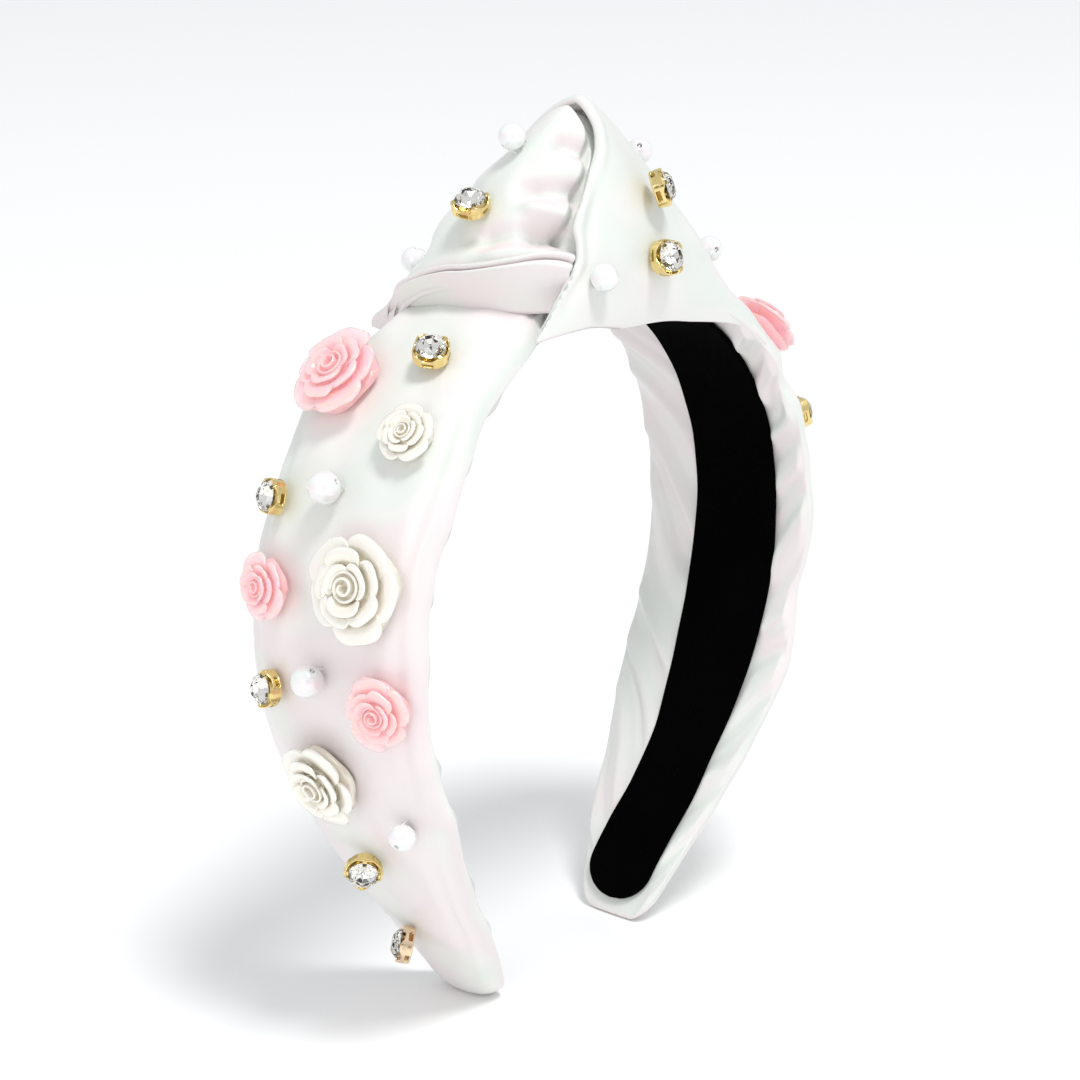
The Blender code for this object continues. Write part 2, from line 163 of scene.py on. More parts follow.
def place(s, y, h):
    """World place of s along the inner face, y across the band and h outwards from the inner face."""
    s = np.asarray(s, float)
    along, side = np.abs(s), np.where(s < 0, -1.0, 1.0)
    turn = np.interp(along, ARCH_S, ARCH_TURN)
    x = np.interp(along, ARCH_S, ARCH_X) + h * np.sin(turn)
    z = np.interp(along, ARCH_S, ARCH_Z) + h * np.cos(turn)
    return np.stack(np.broadcast_arrays(side * x, y, z), -1)


def taper(s):
    return np.clip((np.abs(s) - TAPER_START) / (ARM_LENGTH - TAPER_START), 0.0, 1.0) ** 2


def band_width(s):
    return BAND_WIDTH - (BAND_WIDTH - TIP_WIDTH) * taper(s)


def outer_height(s):
    return COVER_EDGE + (COVER_OUTER - COVER_EDGE) * (1.0 - TIP_THINNING * taper(s))


def band_skin(s, y):
    """Plain outer face of the sleeve, which the decoration is sewn to."""
    across = np.clip(np.abs(y) / (band_width(s) / 2), 0.0, 1.0)
    lift = np.sqrt(1.0 - across ** (2 / SIDE_POWER)) ** DOME_POWER
    return place(s, y, COVER_EDGE + (outer_height(s) - COVER_EDGE) * lift)


def knot_bump(s):
    """1 at the peak, falling along nearly straight sides to 0 at the knot's ends."""
    share = np.clip(np.abs(s) / KNOT_REACH, 0.0, 1.0)
    rounded = np.hypot(share, KNOT_PEAK_ROUND) - KNOT_PEAK_ROUND
    most = math.hypot(1.0, KNOT_PEAK_ROUND) - KNOT_PEAK_ROUND
    return np.clip(1.0 - rounded / most, 0.0, 1.0) ** KNOT_SLOPE_POWER


def knot_skin(s, turn, sunk=0.0):
    """Outer face of the knot at a turn over it, 0 at the front hem and pi at the back hem.

    sunk is 1 where the cloth comes down to the sleeve below it.

    Past the knot's right end it runs out into the sleeve and just under it. Below TUCK_TURN
    degrees the front of the panel turns in and down under the band's edge.
    """
    bump = knot_bump(s)
    out = smoothstep((s - RUN_OUT_START) / (RUN_OUT_END - RUN_OUT_START))
    hem = KNOT_HEM + (COVER_EDGE - KNOT_HEM) * out
    rise = outer_height(s) + KNOT_CLOTH * (1 - out) - RUN_OUT_DEPTH * out + KNOT_RISE * bump
    half = KNOT_HALF_WIDTH + (BAND_WIDTH / 2 - RUN_OUT_DEPTH - KNOT_HALF_WIDTH) * out
    y = -half * signed_power(np.cos(turn), SIDE_POWER + KNOT_PINCH * bump)
    y = y - KNOT_LEAN * np.sin(turn) ** 2 * bump
    y = y - np.maximum(y, 0.0) * GATHER * bell(s + GATHER_S, GATHER_REACH)
    h = hem + (rise - hem) * np.abs(np.sin(turn)) ** (DOME_POWER + KNOT_SHARPEN * bump)
    tuck = (1 - out) * smoothstep((s - TUCK_START) / TUCK_RUN)
    tuck = tuck * np.clip(1 - np.degrees(turn) / TUCK_TURN, 0.0, 1.0) ** 1.5
    y, h = y + TUCK_IN * tuck, h - TUCK_DOWN * tuck
    bed_y = -(BAND_WIDTH / 2 + BED_SIDE) * signed_power(np.cos(turn), SIDE_POWER)
    bed_h = COVER_EDGE + (outer_height(s) - BED_SINK - COVER_EDGE) * np.abs(np.sin(turn)) ** DOME_POWER
    return place(s, y + (bed_y - y) * sunk, h + (bed_h - h) * sunk)


# ---- meshes ----

def grid_quads(rows, columns, wrap=False):
    """Quads of a grid counted row by row, whose normals are (down the rows) x (along the columns)."""
    i = np.arange(rows - 1)[:, None] * columns
    j = np.arange(columns if wrap else columns - 1)[None, :]
    k = (j + 1) % columns
    corners = np.broadcast_arrays(i + j, i + columns + j, i + columns + k, i + k)
    return np.stack(corners, -1).reshape(-1, 4)


def rim_distance(points):
    """Distance of each grid point from the nearest of the grid's four borders, measured along the grid."""
    nearest = []
    for axis in (0, 1):
        step = np.linalg.norm(np.diff(points, axis=axis), axis=-1)
        far = np.cumsum(step, axis)
        here = np.concatenate((np.zeros_like(np.take(far, [0], axis)), far), axis)
        nearest.append(np.minimum(here, np.take(far, [-1], axis) - here))
    return np.minimum(*nearest)


def surface_normals(points):
    return unit(np.cross(np.gradient(points, axis=0), np.gradient(points, axis=1)))


def cloth(outer, thickness, shade=None, normal=None, rim=None):
    """Closed shell of a thickness under a grid, with round rims.

    Both faces close in to the middle as a quarter circle. rim is the distance from the border, where the
    grid's own would be wrong.
    """
    rows, columns = outer.shape[:2]
    half = np.broadcast_to(np.asarray(thickness, float) / 2, (rows, columns))
    normal = surface_normals(outer) if normal is None else normal
    rim = rim_distance(outer) if rim is None else np.minimum(rim, rim_distance(outer))
    full = np.sqrt(1 - (1 - np.clip(rim / half, 0.0, 1.0)) ** 2)
    middle = outer - half[..., None] * normal
    reach = (half * full)[..., None] * normal
    number = np.arange(rows * columns).reshape(rows, columns).copy()
    quads = grid_quads(rows, columns)
    number[1:-1, 1:-1] = rows * columns + np.arange((rows - 2) * (columns - 2)).reshape(rows - 2, columns - 2)
    under = number.ravel()[quads][:, ::-1]
    points = np.concatenate(((middle + reach).reshape(-1, 3), (middle - reach)[1:-1, 1:-1].reshape(-1, 3)))
    shade = np.zeros((rows, columns)) if shade is None else shade
    values = np.concatenate((shade.ravel(), shade[1:-1, 1:-1].ravel()))
    return points, np.concatenate((quads, under)).tolist(), values


def tube(rings, first, last, shade=None):
    """Closed skin through rings of points, with a fan to a point at each end."""
    count, around = rings.shape[:2]
    points = np.concatenate((rings.reshape(-1, 3), np.array([first, last], float)))
    faces = grid_quads(count, around, wrap=True).tolist()
    a = np.arange(around)
    b = (a + 1) % around
    end = (count - 1) * around
    faces += np.stack((np.full(around, count * around), a, b), -1).tolist()
    faces += np.stack((end + b, end + a, np.full(around, count * around + 1)), -1).tolist()
    shade = np.zeros((count, around)) if shade is None else shade
    return points, faces, np.concatenate((shade.ravel(), [shade[0].mean(), shade[-1].mean()]))


def outward(shape):
    """The shape with its faces turned to the outside: its signed volume is made positive."""
    points, faces, shade = shape
    fans = np.array([(f[0], f[k], f[k + 1]) for f in faces for k in range(1, len(f) - 1)])
    a, b, c = (points[fans[:, k]] - points[0] for k in range(3))
    if (a * np.cross(b, c)).sum() < 0:
        faces = [face[::-1] for face in faces]
    return points, faces, shade


def joined(shapes):
    points, faces, shade, base = [], [], [], 0
    for p, f, v in map(outward, shapes):
        points.append(p)
        shade.append(v)
        faces += [[base + i for i in face] for face in f]
        base += len(p)
    return np.concatenate(points), faces, np.concatenate(shade)


def linked(name, data):
    thing = bpy.data.objects.new(name, data)
    bpy.context.scene.collection.objects.link(thing)
    return thing


def piece(name, shape, look, place_at=None, extra=None, closed=True):
    """A mesh object at the origin, its points already in place; shade goes into the attribute "shade"."""
    points, faces, shade = outward(shape) if closed else shape
    if place_at is not None:
        points = points @ place_at[:3, :3].T + place_at[:3, 3]
    mesh = bpy.data.meshes.new(name)
    mesh.from_pydata(points.tolist(), [], faces)
    for label, values in {"shade": shade, **(extra or {})}.items():
        layer = mesh.attributes.new(label, "FLOAT", "POINT")
        layer.data.foreach_set("value", np.asarray(values, np.float32))
    mesh.materials.append(look)
    mesh.polygons.foreach_set("use_smooth", np.full(len(mesh.polygons), True))
    mesh.update()
    return linked(name, mesh)


def mesh_points(mesh):
    points = np.zeros(len(mesh.vertices) * 3)
    mesh.vertices.foreach_get("co", points)
    return points.reshape(-1, 3)


# ---- materials ----

def node(tree, kind, **values):
    """A node with its inputs or settings set by name; a value that is a socket is linked."""
    made = tree.nodes.new(kind)
    for name, value in values.items():
        if name.startswith("set_"):
            setattr(made, name[4:], value)
            continue
        socket = made.inputs[int(name[3:])] if name.startswith("in_") else made.inputs[name.replace("_", " ")]
        if isinstance(value, bpy.types.NodeSocket):
            tree.links.new(value, socket)
        else:
            socket.default_value = value
    return made


def mix_colour(tree, share, a, b):
    return node(tree, "ShaderNodeMix", set_data_type="RGBA", in_0=share, in_6=a, in_7=b).outputs[2]


def attribute(tree, name):
    return node(tree, "ShaderNodeAttribute", set_attribute_name=name).outputs["Fac"]


def coordinates(tree, kind="Object"):
    return node(tree, "ShaderNodeTexCoord").outputs[kind]


def noise(tree, scale, detail=2.0):
    return node(tree, "ShaderNodeTexNoise", Vector=coordinates(tree), Scale=scale, Detail=detail).outputs["Fac"]


def bumped(tree, shader, height, strength, distance):
    bump = node(tree, "ShaderNodeBump", Strength=strength, Distance=distance, Height=height)
    tree.links.new(bump.outputs["Normal"], shader.inputs["Normal"])


def coloured(tree, shader, colour):
    tree.links.new(colour, shader.inputs["Base Color"])


OPAL_FACING = (2.2, 1.4, 3.0)  # how fast the tint moves on with each part of the normal
OPAL_PATCHES = 9.0             # how far it moves on across the patches, in radians


def opal_group():
    """Opal tint: soft patches of pink and green, moved on by the way the surface faces."""
    made = bpy.data.node_groups.new("opal_tint", "ShaderNodeTree")
    for label in ("Ground", "Pink", "Green", "Scale", "Facing", "Amount"):
        kind = "NodeSocketColor" if label in ("Ground", "Pink", "Green") else "NodeSocketFloat"
        made.interface.new_socket(label, in_out="INPUT", socket_type=kind)
    made.interface.new_socket("Color", in_out="OUTPUT", socket_type="NodeSocketColor")
    given = made.nodes.new("NodeGroupInput").outputs
    out = made.nodes.new("NodeGroupOutput").inputs

    def worked(operation, *values):
        named = {"in_%d" % k: value for k, value in enumerate(values)}
        return node(made, "ShaderNodeMath", set_operation=operation, **named).outputs[0]

    normal = node(made, "ShaderNodeNewGeometry").outputs["Normal"]
    patches = node(made, "ShaderNodeTexNoise", Vector=coordinates(made), Scale=given["Scale"], Detail=1.5,
                   Roughness=0.4).outputs["Fac"]
    turn = node(made, "ShaderNodeVectorMath", set_operation="DOT_PRODUCT", in_0=normal, in_1=OPAL_FACING)
    moved = worked("MULTIPLY", turn.outputs["Value"], given["Facing"])
    wave = worked("SINE", worked("MULTIPLY_ADD", patches, OPAL_PATCHES, moved))
    colour = given["Ground"]
    for sign, tint in ((1.0, "Pink"), (-1.0, "Green")):
        half = node(made, "ShaderNodeMapRange", Value=worked("MULTIPLY", wave, sign), From_Min=0.15, From_Max=1.0,
                    To_Max=1.0, set_interpolation_type="SMOOTHSTEP")
        colour = mix_colour(made, worked("MULTIPLY", half.outputs[0], given["Amount"]), colour, given[tint])
    made.links.new(colour, out["Color"])
    return made


OPAL = opal_group()


def opal(tree, ground, pink, green, scale, facing, amount):
    return node(tree, "ShaderNodeGroup", set_node_tree=OPAL, Ground=ground, Pink=pink, Green=green, Scale=scale,
                Facing=facing, Amount=amount).outputs["Color"]


def make_material(name, colour, roughness, **constants):
    made = bpy.data.materials.new(name)
    made.use_nodes = True
    tree = made.node_tree
    shader = tree.nodes["Principled BSDF"]
    shader.inputs["Base Color"].default_value = (*colour, 1.0)
    shader.inputs["Roughness"].default_value = roughness
    for label, value in constants.items():
        shader.inputs[label.replace("_", " ")].default_value = value
    return made, tree, shader


def satin_look():
    """Pearl satin: near-white, opal patches, painted pink light beside the pink roses, fine warp threads."""
    made, tree, shader = make_material("pearl_satin", (0.9, 0.9, 0.87), 0.36, Sheen_Weight=0.12,
                                       Sheen_Roughness=0.4, Coat_Weight=0.18, Coat_Roughness=0.22,
                                       Specular_IOR_Level=0.55)
    ground = opal(tree, (0.81, 0.805, 0.77, 1), (0.86, 0.76, 0.775, 1), (0.735, 0.785, 0.73, 1), 42.0, 1.0, 0.7)
    # Painted light: pink mixed into the satin near the pink roses stands in for the light they throw on it.
    coloured(tree, shader, mix_colour(tree, attribute(tree, "blush"), ground, (0.96, 0.70, 0.73, 1)))
    threads = node(tree, "ShaderNodeTexWave", Vector=coordinates(tree, "UV"), Scale=700.0, Distortion=1.2,
                   Detail=1.0, Detail_Scale=0.4, set_bands_direction="Y")
    both = node(tree, "ShaderNodeMath", set_operation="MULTIPLY_ADD", in_0=threads.outputs["Fac"], in_1=0.05,
                in_2=noise(tree, 160.0))
    bumped(tree, shader, both.outputs[0], 0.10, 0.0008)
    return made


def velvet_look():
    """Black velvet: hardly any colour, a short pile as fine grain."""
    made, tree, shader = make_material("black_velvet", (0.0008, 0.0007, 0.0008), 1.0, Specular_IOR_Level=0.02)
    coloured(tree, shader, mix_colour(tree, noise(tree, 90.0), (0.0004, 0.0004, 0.0005, 1),
                                      (0.0014, 0.0012, 0.0014, 1)))
    bumped(tree, shader, noise(tree, 2600.0), 0.6, 0.0003)
    return made


def resin_look(name, deep, rim, pink, green, amount, bumpy, roughness, **constants):
    """Moulded resin: colour deeper in the folds than on the rims, partly the resin's own tone and partly painted
    shade in the folds and painted light on the rims; opal tint, slightly uneven surface.
    """
    made, tree, shader = make_material(name, deep, roughness, **constants)
    # shade runs from the folds to the rims: painted shade in the folds and painted light on the rims, over the
    # resin's own tone.
    ground = mix_colour(tree, attribute(tree, "shade"), (*deep, 1), (*rim, 1))
    coloured(tree, shader, opal(tree, ground, (*pink, 1), (*green, 1), 260.0, 2.4, amount))
    bumped(tree, shader, noise(tree, 900.0), bumpy, 0.0004)
    return made


def metal_look(name, colour, channel_shade_colour):
    """Thin plating: its own bright colour outside, and painted shade, browner, in the pressed channels."""
    made, tree, shader = make_material(name, colour, 0.2, Metallic=1.0)
    # shade is 1 in the pressed channels: painted shade, a darker colour standing in for the shadow in the recesses.
    coloured(tree, shader, mix_colour(tree, attribute(tree, "shade"), (*colour, 1), (*channel_shade_colour, 1)))
    worn = noise(tree, 1500.0, 3.0)
    gloss = node(tree, "ShaderNodeMapRange", Value=worn, From_Min=0.3, From_Max=0.7, To_Min=0.14, To_Max=0.3)
    tree.links.new(gloss.outputs[0], shader.inputs["Roughness"])
    bumped(tree, shader, worn, 0.15, 0.0002)
    return made


def bead_look():
    """Pearl coat: pale grey under a thin gloss, tinted like the satin but finer."""
    made, tree, shader = make_material("pearl_coat", (0.88, 0.87, 0.86), 0.2, Metallic=0.15, Coat_Weight=0.4,
                                       Coat_Roughness=0.05, Specular_IOR_Level=0.6)
    coloured(tree, shader, opal(tree, (0.88, 0.875, 0.865, 1), (0.93, 0.85, 0.89, 1), (0.86, 0.91, 0.90, 1),
                                120.0, 1.6, 0.7))
    return made


def plastic_look():
    """Moulded strip inside the band: off-white, faint flow marks."""
    made, tree, shader = make_material("core_plastic", (0.80, 0.80, 0.78), 0.5)
    coloured(tree, shader, mix_colour(tree, noise(tree, 400.0, 3.0), (0.77, 0.77, 0.75, 1), (0.83, 0.83, 0.81, 1)))
    return made


def thread_look():
    made, tree, shader = make_material("white_thread", (0.9, 0.9, 0.88), 0.6, Sheen_Weight=0.2)
    twist = node(tree, "ShaderNodeTexWave", Vector=coordinates(tree), Scale=2500.0, Distortion=2.0)
    bumped(tree, shader, twist.outputs["Fac"], 0.4, 0.0001)
    return made


SATIN = satin_look()
VELVET = velvet_look()
IVORY = resin_look("ivory_resin", (0.94, 0.88, 0.74), (0.98, 0.95, 0.89), (0.95, 0.88, 0.84), (0.86, 0.89, 0.80),
                   0.35, 0.05, 0.22, Metallic=0.22, Coat_Weight=0.9, Coat_Roughness=0.08, Specular_IOR_Level=0.6)
# The pink resin's Emission makes it glow a little: painted light standing in for light scattered through the
# translucent resin.
PINK = resin_look("pink_resin", (1.0, 0.66, 0.67), (1.0, 0.88, 0.87), (1.0, 0.74, 0.82), (1.0, 0.78, 0.70),
                  0.5, 0.5, 0.12, Coat_Weight=0.8, Coat_Roughness=0.05, Subsurface_Weight=0.5,
                  Subsurface_Scale=0.002, Transmission_Weight=0.45, Emission_Color=(1.0, 0.50, 0.54, 1.0),
                  Emission_Strength=0.12)
BEAD = bead_look()
GOLD = metal_look("gold_plate", (0.86, 0.68, 0.30), (0.36, 0.22, 0.05))
ROSE_GOLD = metal_look("rose_gold_plate", (0.90, 0.70, 0.48), (0.45, 0.26, 0.12))
PLASTIC = plastic_look()
THREAD = thread_look()
GLASS = make_material("crystal", (1.0, 1.0, 1.0), 0.0, Transmission_Weight=1.0, IOR=1.62)[0]
FOIL = make_material("foil_back", (0.95, 0.93, 0.88), 0.05, Metallic=1.0)[0]


# ---- where the decoration sits ----

def node_points(name):
    return mesh_points(frame["nodes"][name].data)


def seat(skin, a, b, step_a, step_b):
    """4 x 4 frame on a skin, a gap clear of it: Z along its outward normal, X along the first parameter."""
    point = skin(a, b)
    along = unit(skin(a + step_a, b) - skin(a - step_a, b))
    over = skin(a, b + step_b) - skin(a, b - step_b)
    normal = unit(np.cross(along, over))
    if normal @ (point - np.array((0.0, 0.0, ARCH_Z[0] / 2))) < 0:
        normal = -normal
    made = np.eye(4)
    made[:3, :3] = np.stack((along, np.cross(normal, along), normal), -1)
    made[:3, 3] = point + normal * GAP
    return made


def nearest_seat(name):
    """The seat under a node of the frame: the point of the skin that is nearest to the node's middle."""
    middle = node_points(name).mean(0)
    if name.startswith("knot"):
        skin, step_a, step_b = knot_skin, 1 * MM, 0.04
        a, b = np.meshgrid(np.arange(-28, 30, 0.1) * MM, np.radians(np.arange(4, 177, 0.4)), indexing="ij")
    else:
        skin, step_a, step_b = band_skin, 0.5 * MM, 0.5 * MM
        side = -1 if name.startswith("left") else 1
        a, b = np.meshgrid(side * np.arange(30, 170, 0.1) * MM, np.arange(-19, 19, 0.1) * MM, indexing="ij")
    far = np.linalg.norm(skin(a, b) - middle, axis=-1)
    best = np.unravel_index(far.argmin(), far.shape)
    return a[best], b[best], seat(skin, a[best], b[best], step_a, step_b)


def spun(placed, degrees):
    """The seat turned about its own Z."""
    return placed @ np.array(Matrix.Rotation(math.radians(degrees), 4, "Z"))


def body_of(name):
    return next(body for body, nodes in frame["record"]["behaviour"]["bodies"].items() if name in nodes)


def stand_for(thing, name):
    """thing rides where its node does and is shown in its place."""
    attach(thing, body_of(name))
    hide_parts(name)


NODES = sorted(frame["nodes"])
SEATS = {name: nearest_seat(name) for name in NODES if name.split("_")[-1] in ("cup", "stone")
         or "_rose_" in name or "_pearl_" in name}
PINK_PLACES = np.array([placed[:3, 3] for name, (_, _, placed) in SEATS.items() if "rose_pink" in name])
# strength and reach of the painted pink light round the pink roses
PAINTED_ROSE_LIGHT_STRENGTH, PAINTED_ROSE_LIGHT_REACH = 0.34, 7.5 * MM


def blush_at(points):
    """Painted pink light: colour on the cloth round the translucent roses that stands in for the light they throw
    there, fading with distance.
    """
    far = np.linalg.norm(points[:, None] - PINK_PLACES[None], axis=-1)
    return PAINTED_ROSE_LIGHT_STRENGTH * bell(far, PAINTED_ROSE_LIGHT_REACH).max(1)


# ---- satin sleeves ----

SLEEVE_STATIONS, SLEEVE_AROUND = 320, 144
PUCKER_START, PUCKER_RUN = 20 * MM, 14 * MM
PUCKER_DEPTH, PUCKER_REACH = 0.35 * MM, 5 * MM
RAY_DEPTH, RAY_PLACE, RAY_REACH, RAYS = 0.10 * MM, 6 * MM, 3 * MM, 5
GROOVE_DEPTH, GROOVE_IN, GROOVE_WIDTH = 0.55 * MM, 3.4 * MM, 1.3 * MM  # along each edge of the outer face
MARGIN_PITCH, MARGIN_SLANT, MARGIN_DEPTH = 14 * MM, 1.4, 1.25 * MM     # folds beside the ribbon
MARGIN_FINE, MARGIN_SUNK = 0.22 * MM, 0.1 * MM
EDGE_WAVE, EDGE_FOLD = 0.45 * MM, 0.3 * MM
TIP_ROUND_Y, TIP_ROUND_H = 5.5 * MM, 2.2 * MM
TIP_POWER_Y, TIP_POWER_H = 2.6, 2.2
TIP_LEAST_Y, TIP_LEAST_H = 0.42, 0.45  # share of the width and height left at the very end
# the sleeves' edges are drawn in here: (side, edge, s, depth, reach), the lengths in mm; the front edge is -1
EDGE_DENTS = (
    ("left", -1, 8, 10.5, 13), ("left", -1, 33, 3.0, 14), ("left", -1, 120, -0.8, 8), ("left", -1, 142, 1.4, 13),
    ("left", 1, 27, 6.0, 11), ("left", 1, 60, 0.8, 10),
    ("right", -1, -8, 10.5, 13), ("right", -1, 57, 2.6, 4.5), ("right", -1, 103, 1.4, 6), ("right", -1, 122, -0.8, 9),
    ("right", 1, 98, 1.5, 17), ("right", 1, 145, 1.0, 7),
)


def sleeve_ripple(s, y):
    """Unevenness of the stuffed outer face: slow swells, longer along the band than across it."""
    swell = 0.30 * MM * wander(s / (4.2 * MM), y / (3.4 * MM), 1.0)
    return swell + 0.14 * MM * wander(s / (1.9 * MM), y / (2.6 * MM), 2.0)


def pucker(s, y, side):
    """The cloth is drawn in under each sewn piece, with faint rays round it."""
    drawn = 0.0
    for name, (a, b, _) in SEATS.items():
        if not name.startswith(side) or name.endswith("stone"):
            continue
        far = np.hypot(s - a, y - b)
        rays = np.cos(RAYS * np.arctan2(y - b, s - a) + 3 * a / MM)
        drawn = drawn - PUCKER_DEPTH * bell(far, PUCKER_REACH) + RAY_DEPTH * rays * bell(far - RAY_PLACE, RAY_REACH)
    return drawn


def closing(height, power, reach, least):
    """From least at the ground to 1 at a height of reach, along a superellipse."""
    return least + (1 - least) * (1 - (1 - np.clip(height / reach, 0.0, 1.0)) ** power) ** (1 / power)


def sleeve(name, side, look):
    """Closed sleeve from the crown to a tip.

    Round the section y = half width x cos^0.7 and h rises as sin^0.8 outside and falls as sin^0.5 inside.
    The outer face swells and puckers, a groove runs beside each edge, the edges wave, and on the inner
    face slanting folds run from the edge down to the ribbon. The tip closes in as a rounded end.
    """
    sign = -1.0 if side == "left" else 1.0
    along = np.linspace(0.0, 1.0, SLEEVE_STATIONS)
    angle = np.linspace(0.0, 2 * math.pi, SLEEVE_AROUND, endpoint=False)
    share, angle = np.meshgrid(along, angle, indexing="ij")
    lift = np.sin(angle)
    across = signed_power(np.cos(angle), SIDE_POWER)
    s = share * ARM_LENGTH
    half = band_width(s) / 2
    y = half * across
    edge = half - np.abs(y)
    thin = band_width(s) / BAND_WIDTH
    fade = smoothstep((s - PUCKER_START) / PUCKER_RUN)

    top = outer_height(s) - COVER_EDGE
    up = COVER_EDGE + top * np.abs(lift) ** DOME_POWER
    swell = sleeve_ripple(sign * s, y) * thin + fade * pucker(sign * s, y, side)
    groove = -GROOVE_DEPTH * bell(edge - GROOVE_IN, GROOVE_WIDTH) * (1 + 0.5 * np.sin(s / (7 * MM)))
    up = up + (swell + groove * thin) * np.abs(lift) ** 0.6

    down = COVER_EDGE - (COVER_EDGE - COVER_INNER) * np.abs(lift) ** INNER_POWER
    back, front = ribbon_edges(s)
    beside = np.abs(y - (back + front) / 2) - (back - front) / 2
    margin = smoothstep((beside + 1.5 * MM) / (2.5 * MM)) * smoothstep(edge / (1.2 * MM))
    phase = (s + MARGIN_SLANT * np.abs(y)) / MARGIN_PITCH + 0.35 * wander(s / (9 * MM), y / (9 * MM), 4.0)
    ridge = (0.5 + 0.5 * np.sin(2 * math.pi * phase)) ** 1.6
    fine = (0.5 + 0.5 * np.sin(2 * math.pi * phase * 2.6 + 1.0)) ** 2
    down = down - margin * thin * (MARGIN_DEPTH * ridge + MARGIN_FINE * fine - MARGIN_SUNK)

    h = np.where(lift >= 0, up, down)
    wave = EDGE_WAVE * wander(s / (5 * MM), np.sign(y) * 3.0, 6.0) + EDGE_FOLD * (ridge - 0.5)
    for dented, edge_sign, middle, depth, reach in EDGE_DENTS:
        if dented == side:
            wave = wave - depth * MM * bell(s - middle * MM, reach * MM) * (np.sign(y) == edge_sign)
    y = y + np.sign(y) * wave * thin * np.abs(across) ** 2

    tip_turn = ARCH_TURN[-1]
    reach = ARM_LENGTH + h / math.tan(tip_turn)
    points = place(sign * share * reach, y, h)
    low = points[..., 2]
    middle_h = (COVER_INNER + outer_height(s)) / 2
    h = middle_h + (h - middle_h) * closing(low, TIP_POWER_H, TIP_ROUND_H, TIP_LEAST_H)
    y = y * closing(low, TIP_POWER_Y, TIP_ROUND_Y, TIP_LEAST_Y)
    points = place(sign * share * (ARM_LENGTH + h / math.tan(tip_turn)), y, h)
    points[-1, :, 2] = 0.0
    points[..., 2] = np.maximum(points[..., 2], 0.0)

    shape = tube(points, points[0].mean(0), points[-1].mean(0))
    made = piece(name, shape, look, extra={"blush": blush_at(shape[0])})
    add_cloth_map(made, np.concatenate((s.ravel(), [0.0, ARM_LENGTH])),
                  np.concatenate(((np.abs(angle - math.pi) * half).ravel(), [0.0, 0.0])))
    return made


def add_cloth_map(thing, u, v):
    """UV map in metres, so that threads keep their size."""
    mesh = thing.data
    corner = np.zeros(len(mesh.loops), np.int64)
    mesh.loops.foreach_get("vertex_index", corner)
    layer = mesh.uv_layers.new(name="cloth")
    layer.data.foreach_set("uv", np.stack((u[corner], v[corner]), -1).astype(np.float32).ravel())


# ---- velvet ribbon ----

# (s, back edge, front edge), all in mm
RIBBON_EDGES = ((0, 6.8, -13.2), (60, 6.7, -13.5), (110, 6.4, -13.5), (122, 5.6, -13.0), (135, 4.2, -11.6),
                (147, 5.2, -10.6), (157, 7.0, -8.8), (165, 7.8, -7.6), (176, 7.8, -7.0))
RIBBON_THICKNESS = 0.9 * MM
RIBBON_END, RIBBON_ROUND = 4.5 * MM, 7 * MM  # from the end to the tip, and the length of the rounding


def ribbon_edges(s):
    """Where the ribbon's back and front edges run, in metres across the band."""
    back = curve_through([(a, b) for a, b, _ in RIBBON_EDGES])
    front = curve_through([(a, c) for a, _, c in RIBBON_EDGES])
    return back(s / MM) * MM, front(s / MM) * MM


def ribbon(name, side):
    """Half of the ribbon, from the crown to its rounded end, which closes in as a quarter ellipse."""
    sign = -1.0 if side == "left" else 1.0
    along, across = crowded(260, 0.5), crowded(72, 0.7) * 2 - 1
    share, over = np.meshgrid(along, across, indexing="ij")
    length = ARM_LENGTH - RIBBON_END
    s = share * length
    back, front = ribbon_edges(s)
    half = (back - front) / 2 + 0.2 * MM * wander(s / (6 * MM), np.sign(over), 8.0)
    rest = np.clip((length - s) / RIBBON_ROUND, 0.0, 1.0)
    close = np.sqrt(1 - (1 - rest) ** 2)
    y = (back + front) / 2 + half * close * over
    lift = 0.15 * MM * wander(s / (4 * MM), y / (4 * MM), 9.0)
    outer = place(sign * s, y, 0.05 * MM + lift)
    if side == "right":
        outer = outer[:, ::-1]
    made = piece(name, cloth(outer, RIBBON_THICKNESS), VELVET)
    return made


# ---- knot ----

PANEL_ROWS, PANEL_COLUMNS = 240, 200
WING_ROWS, WING_COLUMNS = 220, 160
STRIP_ROWS, STRIP_COLUMNS = 200, 90
PANEL_CLOTH, WING_CLOTH, STRIP_CLOTH = 1.5 * MM, 1.2 * MM, 1.4 * MM
# the edge's steep stretch the other way round: at which turn it crosses each s
EDGE_TURNS, EDGE_BY_S = zip(*(pair for pair in PANEL_EDGE if 28 <= pair[0] <= 52))
edge_curve = curve_through(PANEL_EDGE)
hem_curve = curve_through(STRIP_HEM)
top_curve = curve_through(STRIP_TOP)


def rows_along(curve, low, high, count):
    """Turns in degrees whose places on a line over the knot are nearly evenly spaced."""
    turn = np.linspace(low, high, 2000)
    line = knot_skin(curve(turn) * MM, np.radians(turn))
    run = np.concatenate(([0.0], np.cumsum(np.linalg.norm(np.diff(line, axis=0), axis=1))))
    run = 0.8 * run / run[-1] + 0.2 * (turn - low) / (high - low)
    return np.interp(crowded(count, 0.3), run, turn)


def knot_line(curve, low, high, count):
    """Close points along a line over the knot."""
    turn = np.linspace(low, high, count)
    return knot_skin(curve(turn) * MM, np.radians(turn))


FOLD = knot_line(edge_curve, 28.0, 176.0, 400)


